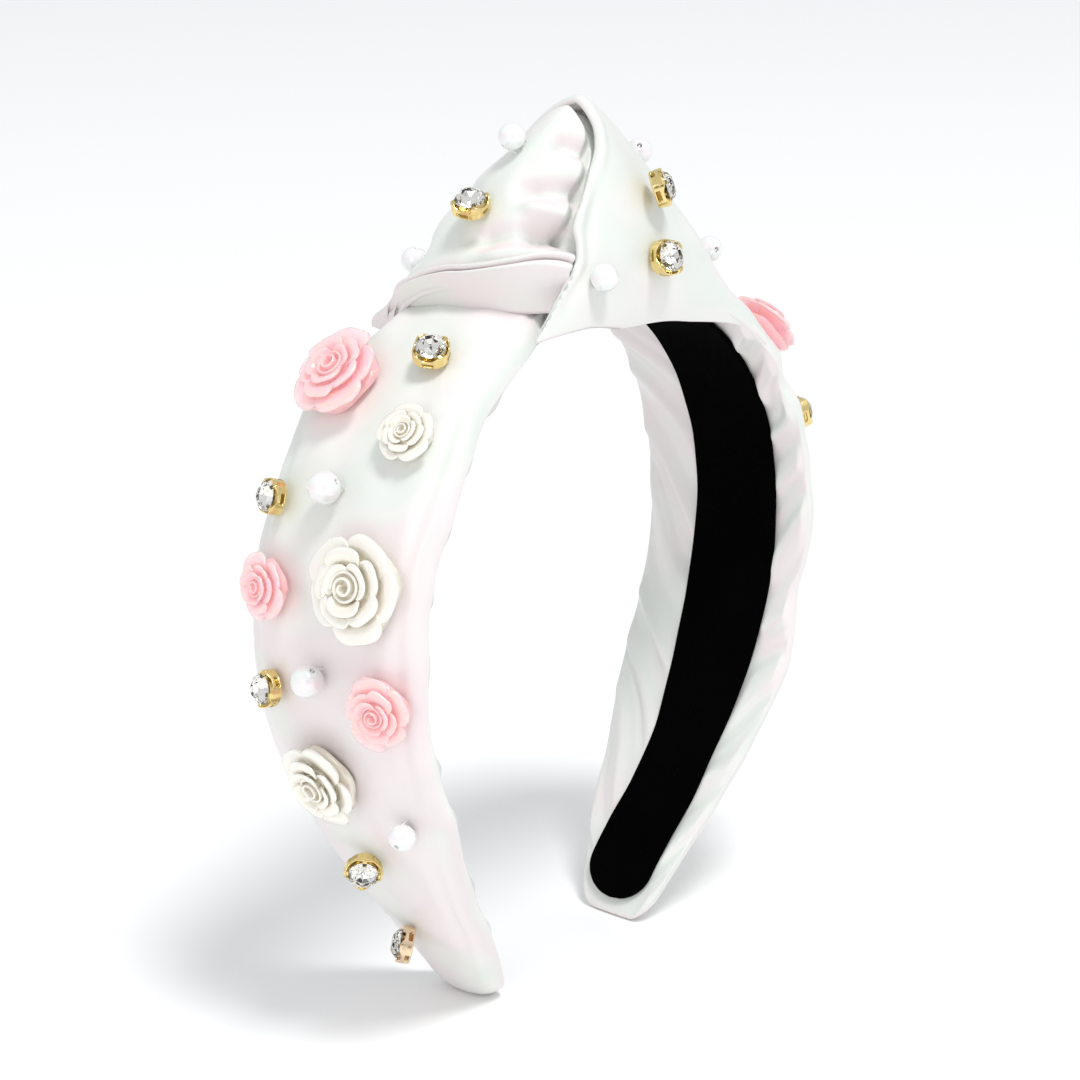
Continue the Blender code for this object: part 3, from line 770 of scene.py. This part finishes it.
def distance_to(line, points):
    """Distance of each point from a line given as close points, a few rows at a time."""
    far = np.empty(points.shape[:-1])
    for k in range(points.shape[0]):
        far[k] = np.sqrt(((points[k][:, None] - line[None]) ** 2).sum(-1)).min(1)
    return far


def crease(points, ends, depth, width):
    """Valley along the line between two places on the knot, fading at its ends. A negative depth makes a ridge."""
    (s0, t0), (s1, t1) = ends
    a, b = knot_skin(s0 * MM, math.radians(t0)), knot_skin(s1 * MM, math.radians(t1))
    run = b - a
    share = np.clip((points - a) @ run / (run @ run), -0.2, 1.2)
    far = np.linalg.norm(points - a - share[..., None] * run, axis=-1)
    keep = smoothstep((share + 0.2) / 0.45) * smoothstep((1.2 - share) / 0.3)
    return -depth * MM * bell(far, width * MM) * keep


def knot_normal(s, turn):
    """Outward normal of the knot's skin."""
    low, high = np.maximum(turn - 0.01, 0.001), np.minimum(turn + 0.01, math.pi - 0.001)
    over = knot_skin(s, high) - knot_skin(s, low)
    along = knot_skin(s + 0.3 * MM, turn) - knot_skin(s - 0.3 * MM, turn)
    return unit(np.cross(along, over))


def creased(plain, creases):
    """Height added by some creases, each ((s in mm, turn in degrees) twice, depth in mm, width in mm)."""
    return sum(crease(plain, *each) for each in creases)


def knot_piece(name, s, turn, plain, amount, thickness, rim=None):
    """A piece of the knot: its skin pushed out by an amount, as a cloth shell in place of a node."""
    normal = knot_normal(s, turn)
    made = piece(name, cloth(plain + amount[..., None] * normal, thickness, normal=normal, rim=rim), SATIN)
    points = mesh_points(made.data)
    add_cloth_map(made, points[:, 0] + points[:, 2], points[:, 1])
    blush = made.data.attributes.new("blush", "FLOAT", "POINT")
    blush.data.foreach_set("value", blush_at(points).astype(np.float32))
    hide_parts("knot_" + name)
    return made


ROLL_START, ROLL_RUN = 24.0, 10.0  # the roll comes up over these degrees
ROLL_RISE, ROLL_IN, ROLL_WIDTH = 0.75 * MM, 1.1 * MM, 1.2 * MM
SWELL_RISE, SWELL_WIDTH = 0.3 * MM, 6 * MM
PANEL_CREASES = (
    (((-2.2, 60), (-11.0, 34)), 0.8, 1.5),
    (((-11.0, 33), (-19.0, 24)), 0.25, 1.4),
    (((2.0, 70), (14.0, 40)), 0.4, 3.0),
    (((8.0, 20), (24.0, 34)), 0.35, 3.0),
    (((-6.0, 30), (6.0, 12)), -0.4, 3.5),
)


def panel():
    """Smooth right-hand panel: rows are turns over the knot, and each runs from its folded edge out along the arm.

    The folded edge is rolled: a bead along it, then a crease. The far end runs out just under the sleeve.
    """
    rows = np.radians(rows_along(edge_curve, 0.5, 179.5, PANEL_ROWS))
    turn, share = np.meshgrid(rows, crowded(PANEL_COLUMNS, 0.6), indexing="ij")
    start = edge_curve(np.degrees(turn)) * MM
    s = start + share * (RUN_OUT_END - start)
    plain = knot_skin(s, turn)
    far = distance_to(FOLD, plain)
    rolled = smoothstep((np.degrees(turn) - ROLL_START) / ROLL_RUN)
    out = smoothstep((s - PUCKER_START) / PUCKER_RUN)
    amount = rolled * ROLL_RISE * bell(far - ROLL_IN, ROLL_WIDTH) + SWELL_RISE * bell(far, SWELL_WIDTH)
    amount = amount + out * sleeve_ripple(s, plain[..., 1]) * np.sin(turn) ** 0.6
    amount = amount + (1 - out) * 0.22 * MM * wander(s / (4 * MM), turn * 4, 12.0)
    amount = amount + creased(plain, PANEL_CREASES)
    border = distance_to(knot_line(edge_curve, 0.5, 179.5, 700), plain)
    return knot_piece("right_panel", s, turn, plain, amount, PANEL_CLOTH, border)


WING_CREASES = (
    (((-6.2, 78), (-3.2, 60)), 2.9, 2.0),
    (((-12.4, 80), (-6.8, 52)), 3.77, 2.2),
    (((-19.0, 92), (-14.0, 54)), 2.9, 2.6),
    (((-16.5, 68), (-11.8, 48)), 2.9, 1.9),
    (((-13.5, 74), (-11.0, 51)), -1.595, 1.5),
    (((-20.6, 84), (-15.5, 49)), -1.305, 1.5),
    (((-13.0, 110), (-8.0, 140)), 2.03, 2.5),
    (((-20.0, 130), (-14.0, 150)), 1.885, 2.5),
    (((-5.0, 120), (-3.0, 150)), 1.595, 2.0),
)
WING_UNDER_STRIP, WING_UNDER_PANEL, TUCK_DEPTH = 2.5 * MM, 3.0 * MM, 1.4 * MM
POCKET, POCKET_DEPTH, POCKET_WIDTH = (-11.9, 46.5), 5.0 * MM, 2.4 * MM


def wing():
    """Left face of the knot: gathered folds run up and left from a deep pocket beside the panel's edge."""
    rows = np.radians(rows_along(edge_curve, 34.0, 179.5, WING_ROWS))
    turn, share = np.meshgrid(rows, crowded(WING_COLUMNS, 0.4), indexing="ij")
    start = top_curve(np.degrees(turn)) * MM - WING_UNDER_STRIP
    end = edge_curve(np.degrees(turn)) * MM + WING_UNDER_PANEL
    s = start + share * (end - start)
    plain = knot_skin(s, turn)
    pocket = knot_skin(POCKET[0] * MM, math.radians(POCKET[1]))
    beyond = np.where(s > end - WING_UNDER_PANEL, -1.0, 1.0) * distance_to(FOLD, plain)
    tuck = 1.8 * smoothstep(1 - beyond / (2.2 * MM)) + smoothstep((start + 4.5 * MM - s) / (3.0 * MM))
    amount = -TUCK_DEPTH * tuck - POCKET_DEPTH * bell(np.linalg.norm(plain - pocket, axis=-1), POCKET_WIDTH)
    amount = amount + 0.25 * MM * wander(s / (3 * MM), turn * 5, 14.0)
    amount = amount + creased(plain, WING_CREASES)
    return knot_piece("left_wing", s, turn, plain, amount, WING_CLOTH)


STRIP_LIP, STRIP_DIVE = 0.16, 3.2 * MM  # share of the width that comes down to the sleeve; depth under the panel
PLEAT_BASE, PLEAT_RISE, PLEAT_PARTING = 0.2 * MM, 1.25 * MM, 0.6 * MM


def strip():
    """Wrapped strip: two pleats side by side, from under the panel's edge round to the back hem."""
    rows = np.radians(22 + 157.5 * crowded(STRIP_ROWS, 0.3))
    turn, share = np.meshgrid(rows, crowded(STRIP_COLUMNS, 0.6), indexing="ij")
    degrees = np.degrees(turn)
    start, end = hem_curve(degrees) * MM, top_curve(degrees) * MM
    s = start + share * (end - start)
    lip = np.clip(1 - share / STRIP_LIP, 0.0, 1.0) ** 2
    plain = knot_skin(s, turn, lip)
    covered = np.interp(s / MM, EDGE_BY_S, EDGE_TURNS) - degrees
    under = smoothstep(covered / 5 + 0.6) * smoothstep((50 - degrees) / 8)
    parting = 0.52 + 0.04 * np.sin(degrees / 23)
    pleat = np.where(share < parting, share / parting, (share - parting) / (1 - parting))
    round_pleat = np.sin(math.pi * np.clip(pleat, 0, 1)) ** 0.6
    amount = PLEAT_BASE + PLEAT_RISE * round_pleat - PLEAT_PARTING * bell(share - parting, 0.05)
    amount = amount * (1 - 0.6 * smoothstep((degrees - 120) / 50)) * (1 - 0.5 * lip)
    amount = amount - STRIP_DIVE * under + 0.22 * MM * wander(degrees / 9, share * 5, 16.0)
    return knot_piece("wrap_strip", s, turn, plain, amount, STRIP_CLOTH)


# ---- roses ----

def petal(radius, middle, spread, foot, rim, foot_z, rim_z, curl, tilt, wavy, thickness):
    """One petal as a shell.

    Across it the angle runs from -spread to spread about its middle. From foot to rim the radius grows and
    the height follows a quarter sine, then curls over outwards. tilt sets one side further out than the
    other, so that neighbours overlap like tiles, and the rim is drawn in at both sides and dips in the middle.
    """
    up, over = np.meshgrid(crowded(18, 0.5), crowded(22, 0.6) * 2 - 1, indexing="ij")
    outline = (1 - np.abs(over) ** 3.2) ** 0.5 - 0.05 * bell(over, 0.25)
    rise = up * (0.45 + 0.55 * outline)
    angle = middle + spread * over * (0.62 + 0.38 * up ** 0.5)
    spill = smoothstep((rise - 0.62) / 0.38)
    r = foot + (rim - foot) * rise ** 1.2 + curl * spill ** 1.5
    r = r + tilt * over * (rim - foot) * up + wavy * np.sin(over * 7 + middle * 3) * up ** 2
    z = foot_z + (rim_z - foot_z) * np.sin(np.minimum(rise, 1.0) * math.pi / 2) - curl * 0.9 * spill ** 2
    points = np.stack((r * np.cos(angle), r * np.sin(angle), z), -1) * radius
    # Paler towards the rim and darker near the foot: painted light and shade, partly the resin's own tone.
    shade = smoothstep((rise - 0.55) / 0.45) * 0.9 + 0.1 * up
    return cloth(points[:, ::-1], thickness * radius, shade[:, ::-1])


def bud(radius, turns, inner, outer, low, high, thickness):
    """Rolled heart of the flower: an upright wall along a spiral whose radius grows evenly with its turn."""
    up, along = np.meshgrid(crowded(12, 0.6), crowded(90, 0.2), indexing="ij")
    angle = along * turns * 2 * math.pi
    r = inner + (outer - inner) * along ** 0.8 + 0.05 * (up - 0.5)
    z = low + (high - low) * (up * (1 - 0.35 * along))
    points = np.stack((r * np.cos(angle), r * np.sin(angle), z), -1) * radius
    # Paler towards the top of the heart: painted light, partly the resin's own tone.
    shade = smoothstep((up - 0.6) / 0.4) * 0.8
    return cloth(points[:, ::-1], thickness * radius, shade[:, ::-1])


def dome(radius, share, low, high, lobes, depth):
    """Body that the petals grow from: a lobed dome on a flat back."""
    profile = ((0.80, low), (1.0, low + 0.35 * (high - low)), (0.86, low + 0.7 * (high - low)), (0.45, high))
    angle = np.linspace(0, 2 * math.pi, 60, endpoint=False)
    lobed = share * (1 + depth * np.cos(lobes * angle))
    rings = np.array([np.stack((r * lobed * np.cos(angle), r * lobed * np.sin(angle), np.full_like(angle, z)), -1)
                      for r, z in profile]) * radius
    return tube(rings, np.array((0, 0, low)) * radius, np.array((0, 0, high)) * radius)


# count, turn, half spread, foot, rim, height of foot and rim, curl, tilt, thickness; lengths in radii
PETAL_RINGS = (
    (5, 0.0, 0.80, 0.36, 0.92, 0.08, 0.40, 0.08, 0.10, 0.075),
    (5, 0.6, 0.78, 0.30, 0.68, 0.20, 0.56, 0.05, 0.12, 0.066),
    (3, 0.2, 1.10, 0.26, 0.48, 0.34, 0.64, 0.02, 0.16, 0.060),
)


def rose_shape(radius, seed, loose):
    """Body, five broad outer petals, five in the second ring, three round the heart, and the rolled heart."""
    shapes = [dome(radius, 0.84, -0.04, 0.30, 5, 0.05), dome(radius, 0.44, 0.10, 0.50, 4, 0.03)]
    for k, (count, turn, spread, foot, rim, foot_z, rim_z, curl, tilt, thickness) in enumerate(PETAL_RINGS):
        for i in range(count):
            uneven = math.sin(seed * 3.1 + i * 2.3 + k * 1.1)
            middle = 2 * math.pi * i / count + turn + seed + 0.08 * uneven
            shapes.append(petal(radius, middle, spread, foot, rim * (1 + 0.04 * uneven), foot_z,
                                rim_z * (1 + 0.06 * uneven), curl * (1 + 0.5 * uneven * loose), tilt,
                                0.012 * loose, thickness))
    shapes.append(bud(radius, 2.3, 0.03, 0.33, 0.36, 0.74, 0.055))
    return joined(shapes)


ROSE_SPIN = {"large": 0.9, "small": 0.2, "lower": 2.0, "upper": 1.3, "back": 0.4, "front": 2.6}


def roses():
    for name in NODES:
        if "_rose_" not in name:
            continue
        placed = SEATS[name][2]
        points = node_points(name) - placed[:3, 3]
        side = points - (points @ placed[:3, 2])[:, None] * placed[:3, 2]
        radius = np.linalg.norm(side, axis=1).max()
        pink = "pink" in name
        shape = rose_shape(radius, ROSE_SPIN[name.split("_")[-1]], 1.0 if pink else 0.4)
        made = piece(name.replace("_rose_", "_flower_"), shape, PINK if pink else IVORY, placed)
        stand_for(made, name)


# ---- beads ----

BORE = 0.55 * MM          # radius
BEAD_ARC, BEAD_AROUND, BORE_STEPS = 40, 48, 6
STITCH_SHARE = 0.32       # the thread's radius as a share of the bore's
OUTWARD_BEAD = "left_pearl_3"  # the bead that lies with its bore facing out


def bead_shape(radius, bore):
    """Round bead with a bore along X: a circle's arc from one mouth to the other, closed through the bore."""
    start = math.asin(bore / radius)
    t = np.linspace(start, math.pi - start, BEAD_ARC)
    inside = np.linspace(-1, 1, BORE_STEPS + 2)[1:-1] * radius * math.cos(start) * 0.98
    x = np.concatenate((radius * np.cos(t), inside))
    r = np.concatenate((radius * np.sin(t), np.full(BORE_STEPS, bore * 0.9)))
    angle = np.linspace(0, 2 * math.pi, BEAD_AROUND, endpoint=False)
    points = np.stack((np.broadcast_to(x[:, None], (len(x), BEAD_AROUND)), r[:, None] * np.cos(angle),
                       r[:, None] * np.sin(angle) + radius), -1)
    last = (len(x) - 1) * BEAD_AROUND
    j = np.arange(BEAD_AROUND)
    k = (j + 1) % BEAD_AROUND
    close = np.stack((last + j, j, k, last + k), -1)
    faces = np.concatenate((grid_quads(len(x), BEAD_AROUND, wrap=True), close))[:, ::-1].tolist()
    return points.reshape(-1, 3), faces, np.zeros(points[..., 0].size)


def stitch_shape(radius, bore):
    """Sewing thread through a bead: out of one mouth and down into the cloth at each end."""
    t = np.linspace(-1, 1, 60)
    x = radius * np.sin(t * math.pi / 2) * (1.02 - 0.5 * smoothstep((np.abs(t) - 0.66) / 0.34))
    z = radius - radius * 1.3 * smoothstep((np.abs(t) - 0.62) / 0.38)
    line = np.stack((x, np.zeros_like(t), z), -1)
    forward = unit(np.gradient(line, axis=0))
    across = np.array((0.0, 1.0, 0.0))
    up = np.cross(forward, across)
    angle = np.linspace(0, 2 * math.pi, 10, endpoint=False)
    rings = line[:, None] + bore * STITCH_SHARE * (np.cos(angle)[None, :, None] * across
                                           + np.sin(angle)[None, :, None] * up[:, None])
    return tube(rings, line[0], line[-1])


def beads():
    for k, name in enumerate(n for n in NODES if "_pearl_" in n):
        points = node_points(name)
        middle = (points.min(0) + points.max(0)) / 2
        radius = np.linalg.norm(points - middle, axis=1).max()
        placed = spun(SEATS[name][2], 25 * k)
        shape, thread = bead_shape(radius, BORE), stitch_shape(radius, BORE)
        if name == OUTWARD_BEAD:
            x, y, z = (shape[0] - (0, 0, radius)).T
            shape = (np.stack((z, y, radius - x), -1),) + shape[1:]
        stand_for(piece(name.replace("pearl", "bead"), shape, BEAD, placed), name)
        made = piece(name.replace("pearl", "stitch"), thread, THREAD, placed)
        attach(made, body_of(name))


# ---- stones and their cups ----

CUP_RADIUS, CUP_WALL = 3.3 * MM, 0.35 * MM
CUP_SQUARE = 2.6          # power of the cup's plan; 2 is round
CHANNEL_HALF, CHANNEL_LOW, CHANNEL_HIGH, CHANNEL_SINK = 1.0 * MM, 0.35 * MM, 1.25 * MM, 0.7 * MM
CHANNEL_EDGE = 0.15 * MM
WALL_STEPS = 22
CLAW_HALF_WIDTH, CLAW_THICKNESS, CLAW_LEAN = 0.62 * MM, 0.36 * MM, 1.35 * MM
# the stone's rings from the table down: share of its radius, height in mm, corners, turn in corners
STONE_RINGS = ((0.52, 4.05, 8, 0.0), (0.80, 3.55, 8, 0.5), (1.0, 2.75, 16, 0.5), (1.0, 2.6, 16, 0.5),
               (0.62, 1.7, 8, 0.0), (0.05, 0.85, 4, 0.0))


def cup_shape():
    """Pressed cup: a squarish plan swept round a wall profile.

    Channels are sunk in its sides, and the rim dips between the claws.
    """
    angle = np.linspace(0, 2 * math.pi, 128, endpoint=False)
    plan = (np.abs(np.cos(angle)) ** CUP_SQUARE + np.abs(np.sin(angle)) ** CUP_SQUARE) ** (-1 / CUP_SQUARE)
    wall_z = np.linspace(0.35, 2.6, WALL_STEPS) * MM
    r = np.concatenate(((CUP_RADIUS - 1.2 * MM, CUP_RADIUS - 0.25 * MM), np.full(WALL_STEPS, CUP_RADIUS),
                        (CUP_RADIUS - CUP_WALL / 2, CUP_RADIUS - CUP_WALL), (CUP_RADIUS - CUP_WALL, 1.5 * MM)))
    z = np.concatenate(((0.0, 0.08 * MM), wall_z, (2.68 * MM, 2.6 * MM), (0.7 * MM, 0.6 * MM)))
    r, z = r[:, None] + 0 * angle, z[:, None] + 0 * angle
    off_axis = np.abs((angle + math.pi / 4) % (math.pi / 2) - math.pi / 4) * CUP_RADIUS
    window = smoothstep((CHANNEL_HALF - off_axis) / (0.2 * MM) + 0.5)
    window = window * smoothstep((z - CHANNEL_LOW) / CHANNEL_EDGE) * smoothstep((CHANNEL_HIGH - z) / CHANNEL_EDGE)
    sunk = window * (np.arange(len(z)) < WALL_STEPS + 2)[:, None]  # only on the outside
    dip = 0.75 * MM * smoothstep(1.25 - off_axis / (1.9 * MM)) * smoothstep((z - 1.3 * MM) / (1.2 * MM))
    r = (r - CHANNEL_SINK * sunk) * plan
    z = z - dip
    rings = np.stack((r * np.cos(angle), r * np.sin(angle), z), -1)
    # sunk, the channels, also goes in as the shade: painted shade in the recesses.
    return tube(rings, (0, 0, 0), (0, 0, 0.6 * MM), sunk)


def claw_shape(turn):
    """One claw: a tongue that rises out of the rim and bends in over the stone."""
    up, over = np.meshgrid(crowded(24, 0.3), crowded(12, 0.7) * 2 - 1, indexing="ij")
    corner = 2 ** (0.5 - 1 / CUP_SQUARE)
    bend = smoothstep((up - 0.45) / 0.55)
    r = CUP_RADIUS * corner + 0.04 * MM - CLAW_LEAN * bend ** 1.3
    z = 1.2 * MM + 2.2 * MM * (up - 0.22 * bend * up)
    width = CLAW_HALF_WIDTH * (1 - 0.45 * up ** 2)
    points = np.stack((r, over * width, z), -1)
    cos, sin = math.cos(turn), math.sin(turn)
    points = points @ np.array(((cos, sin, 0), (-sin, cos, 0), (0, 0, 1)))
    return cloth(points[:, ::-1], CLAW_THICKNESS)


def cup_and_claws():
    return joined([cup_shape()] + [claw_shape(math.pi / 4 + k * math.pi / 2) for k in range(4)])


def stone_mesh(name, placed):
    """Brilliant-cut stone, foil-backed: hull of the table, the crown, the girdle and the rings below it."""
    r = CUP_RADIUS - CUP_WALL - 0.1 * MM
    shape = bmesh.new()
    for share, z, count, shift in STONE_RINGS:
        for k in range(count):
            t = (k + shift) * 2 * math.pi / count
            shape.verts.new((share * r * math.cos(t), share * r * math.sin(t), z * MM))
    bmesh.ops.convex_hull(shape, input=shape.verts)
    bmesh.ops.recalc_face_normals(shape, faces=shape.faces)
    for face in shape.faces:
        face.material_index = 1 if face.normal.z < -0.1 else 0
    shape.transform(Matrix(placed.tolist()))
    mesh = bpy.data.meshes.new(name)
    shape.to_mesh(mesh)
    shape.free()
    mesh.materials.append(GLASS)
    mesh.materials.append(FOIL)
    return linked(name, mesh)


STONE_SPIN = {"left_rhinestone_5": 45.0, "left_rhinestone_2": 0.0, "left_rhinestone_3": 40.0}
# which way the loosely sewn stones look, as directions in the world
STONE_FACES = {
    "knot_rhinestone_1": (-0.37, -0.18, 0.91), "knot_rhinestone_2": (0.60, -0.71, 0.32),
    "knot_rhinestone_3": (-0.10, -0.93, 0.34), "left_rhinestone_1": (-0.44, -0.30, 0.84),
    "left_rhinestone_2": (-0.88, 0.38, 0.26), "left_rhinestone_3": (-0.94, 0.27, 0.09),
    "left_rhinestone_4": (-0.71, -0.60, -0.24), "left_rhinestone_5": (-0.63, 0.71, 0.22),
}
STONE_MIDDLE, STONE_DENT = 1.6 * MM, 1.0 * MM


def leaning(placed, facing):
    """The seat turned so that Z looks along facing, and lifted until the cup's lowest rim only dents the cloth."""
    axis, normal = unit(np.array(facing)), placed[:3, 2]
    upright = min(1.0, float(axis @ normal))
    lift = STONE_MIDDLE * upright + CUP_RADIUS * math.sqrt(1 - upright ** 2) - STONE_DENT * (1 - upright)
    across = unit(np.cross(placed[:3, 1], axis))
    made = placed.copy()
    made[:3, :3] = np.stack((across, np.cross(axis, across), axis), -1)
    made[:3, 3] = placed[:3, 3] + normal * max(lift, STONE_MIDDLE) - axis * STONE_MIDDLE
    return made


def stones():
    for k, name in enumerate(n for n in NODES if n.endswith("_cup")):
        placed = SEATS[name][2]
        base = name[:-4]
        if base in STONE_FACES:
            placed = leaning(placed, STONE_FACES[base])
        placed = spun(placed, STONE_SPIN.get(base, 20.0 + 31 * k))
        metal, slot = (ROSE_GOLD, "rose_gold") if base == "left_rhinestone_5" else (GOLD, "gold")
        stand_for(piece(base + "_setting", cup_and_claws(), metal, placed), name)
        stand_for(stone_mesh(base + "_glass", placed), base + "_stone")


# ---- putting it together ----

def blend_side(thing, side):
    """thing's placement is baked into its points; the flex's start and end are worked out but not used."""
    sign = -1.0 if side == "left" else 1.0
    start, end = place(sign * BLEND_START, 0.0, FLEX_H), place(sign * BLEND_END, 0.0, FLEX_H)
    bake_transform(thing)


def dress_band():
    for side in ("left", "right"):
        sleeve_piece = sleeve(side + "_sleeve", side, SATIN)
        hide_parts(side + "_cover", side + "_foam")
        blend_side(sleeve_piece, side)
        ribbon_piece = ribbon(side + "_ribbon", side)
        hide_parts(side + "_lining")
        blend_side(ribbon_piece, side)
        if side == "left":
            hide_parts("crown_cover", "crown_foam")
            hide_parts("crown_lining")


def dress_knot():
    right = panel()
    blend_side(right, "right")
    for made in (wing(), strip()):
        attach(made, "crown")


def dress_core():
    for name in ("left_core", "crown_core", "right_core"):
        mesh = frame["nodes"][name].data
        mesh.materials.clear()
        mesh.materials.append(PLASTIC)


# ---- floor, light and camera ----

def board(name, half_x, half_y, look):
    """Flat rectangle, for the floor and for what the camera only sees in reflections."""
    corners = np.array(((-1, -1, 0), (1, -1, 0), (1, 1, 0), (-1, 1, 0))) * (half_x, half_y, 1.0)
    made = piece(name, (corners, [[0, 1, 2, 3]], np.zeros(4)), look, closed=False)
    return made


def room():
    board("floor", 4.0, 4.0, make_material("pale_floor", (0.97, 0.97, 0.965), 0.6)[0])
    world = bpy.data.worlds.new("pale_room")
    world.use_nodes = True
    world.node_tree.nodes["Background"].inputs["Color"].default_value = (0.95, 0.97, 1.0, 1)
    world.node_tree.nodes["Background"].inputs["Strength"].default_value = 0.73
    bpy.context.scene.world = world


def dark_card():
    """Dark board behind the camera, seen only in what is glossy."""
    made = board("dark_card", 0.12, 0.09, make_material("board", (0.02, 0.02, 0.02), 1.0)[0])
    made.matrix_world = bpy.context.scene.camera.matrix_basis @ Matrix.Translation((0.0, 0.0, 0.02))
    made.visible_camera = made.visible_shadow = made.visible_diffuse = False


def softbox(name, where, aim, size, power):
    lamp = bpy.data.lights.new(name, "AREA")
    lamp.shape, lamp.size, lamp.energy = "DISK", size, power
    thing = linked(name, lamp)
    thing.location = where
    thing.rotation_euler = (Vector(aim) - Vector(where)).to_track_quat("-Z", "Y").to_euler()


def lights():
    aim = (0.0, 0.0, 0.09)
    softbox("key", (-0.3, -1.1, 2.8), aim, 0.8, 44.0)
    softbox("left_fill", (-2.6, -1.0, 0.9), aim, 1.2, 10.0)


CAMERA_AZIMUTH, CAMERA_ELEVATION = math.radians(50.39), math.radians(19.40)
CAMERA_DISTANCE, CAMERA_LENS, CAMERA_ROLL = 0.5888, 101.4, math.radians(0.44)
CAMERA_AIM = (0.0, 0.0, 0.0735)
CAMERA_LOOK_UP, CAMERA_LOOK_LEFT = 12.27 * MM, 1.70 * MM  # from the aim point, across the view


def camera():
    """On a line back from the aim point, looking a little above and to the left of it."""
    back = Vector((-math.sin(CAMERA_AZIMUTH) * math.cos(CAMERA_ELEVATION),
                   -math.cos(CAMERA_AZIMUTH) * math.cos(CAMERA_ELEVATION), math.sin(CAMERA_ELEVATION)))
    right = Vector((math.cos(CAMERA_AZIMUTH), -math.sin(CAMERA_AZIMUTH), 0.0))
    up = right.cross(-back)
    seen = Vector(CAMERA_AIM) + up * CAMERA_LOOK_UP - right * CAMERA_LOOK_LEFT
    data = bpy.data.cameras.new("camera")
    data.lens = CAMERA_LENS
    thing = linked("camera", data)
    thing.location = Vector(CAMERA_AIM) + back * CAMERA_DISTANCE
    thing.rotation_mode = "QUATERNION"
    look = (seen - thing.location).normalized()
    roll = Matrix.Rotation(CAMERA_ROLL, 4, "Z").to_quaternion()
    thing.rotation_quaternion = look.to_track_quat("-Z", "Y") @ roll
    bpy.context.scene.camera = thing


camera()
room()
dark_card()
lights()
bpy.context.scene.view_settings.view_transform = "Standard"
dress_band()
dress_knot()
dress_core()
roses()
beads()
stones()
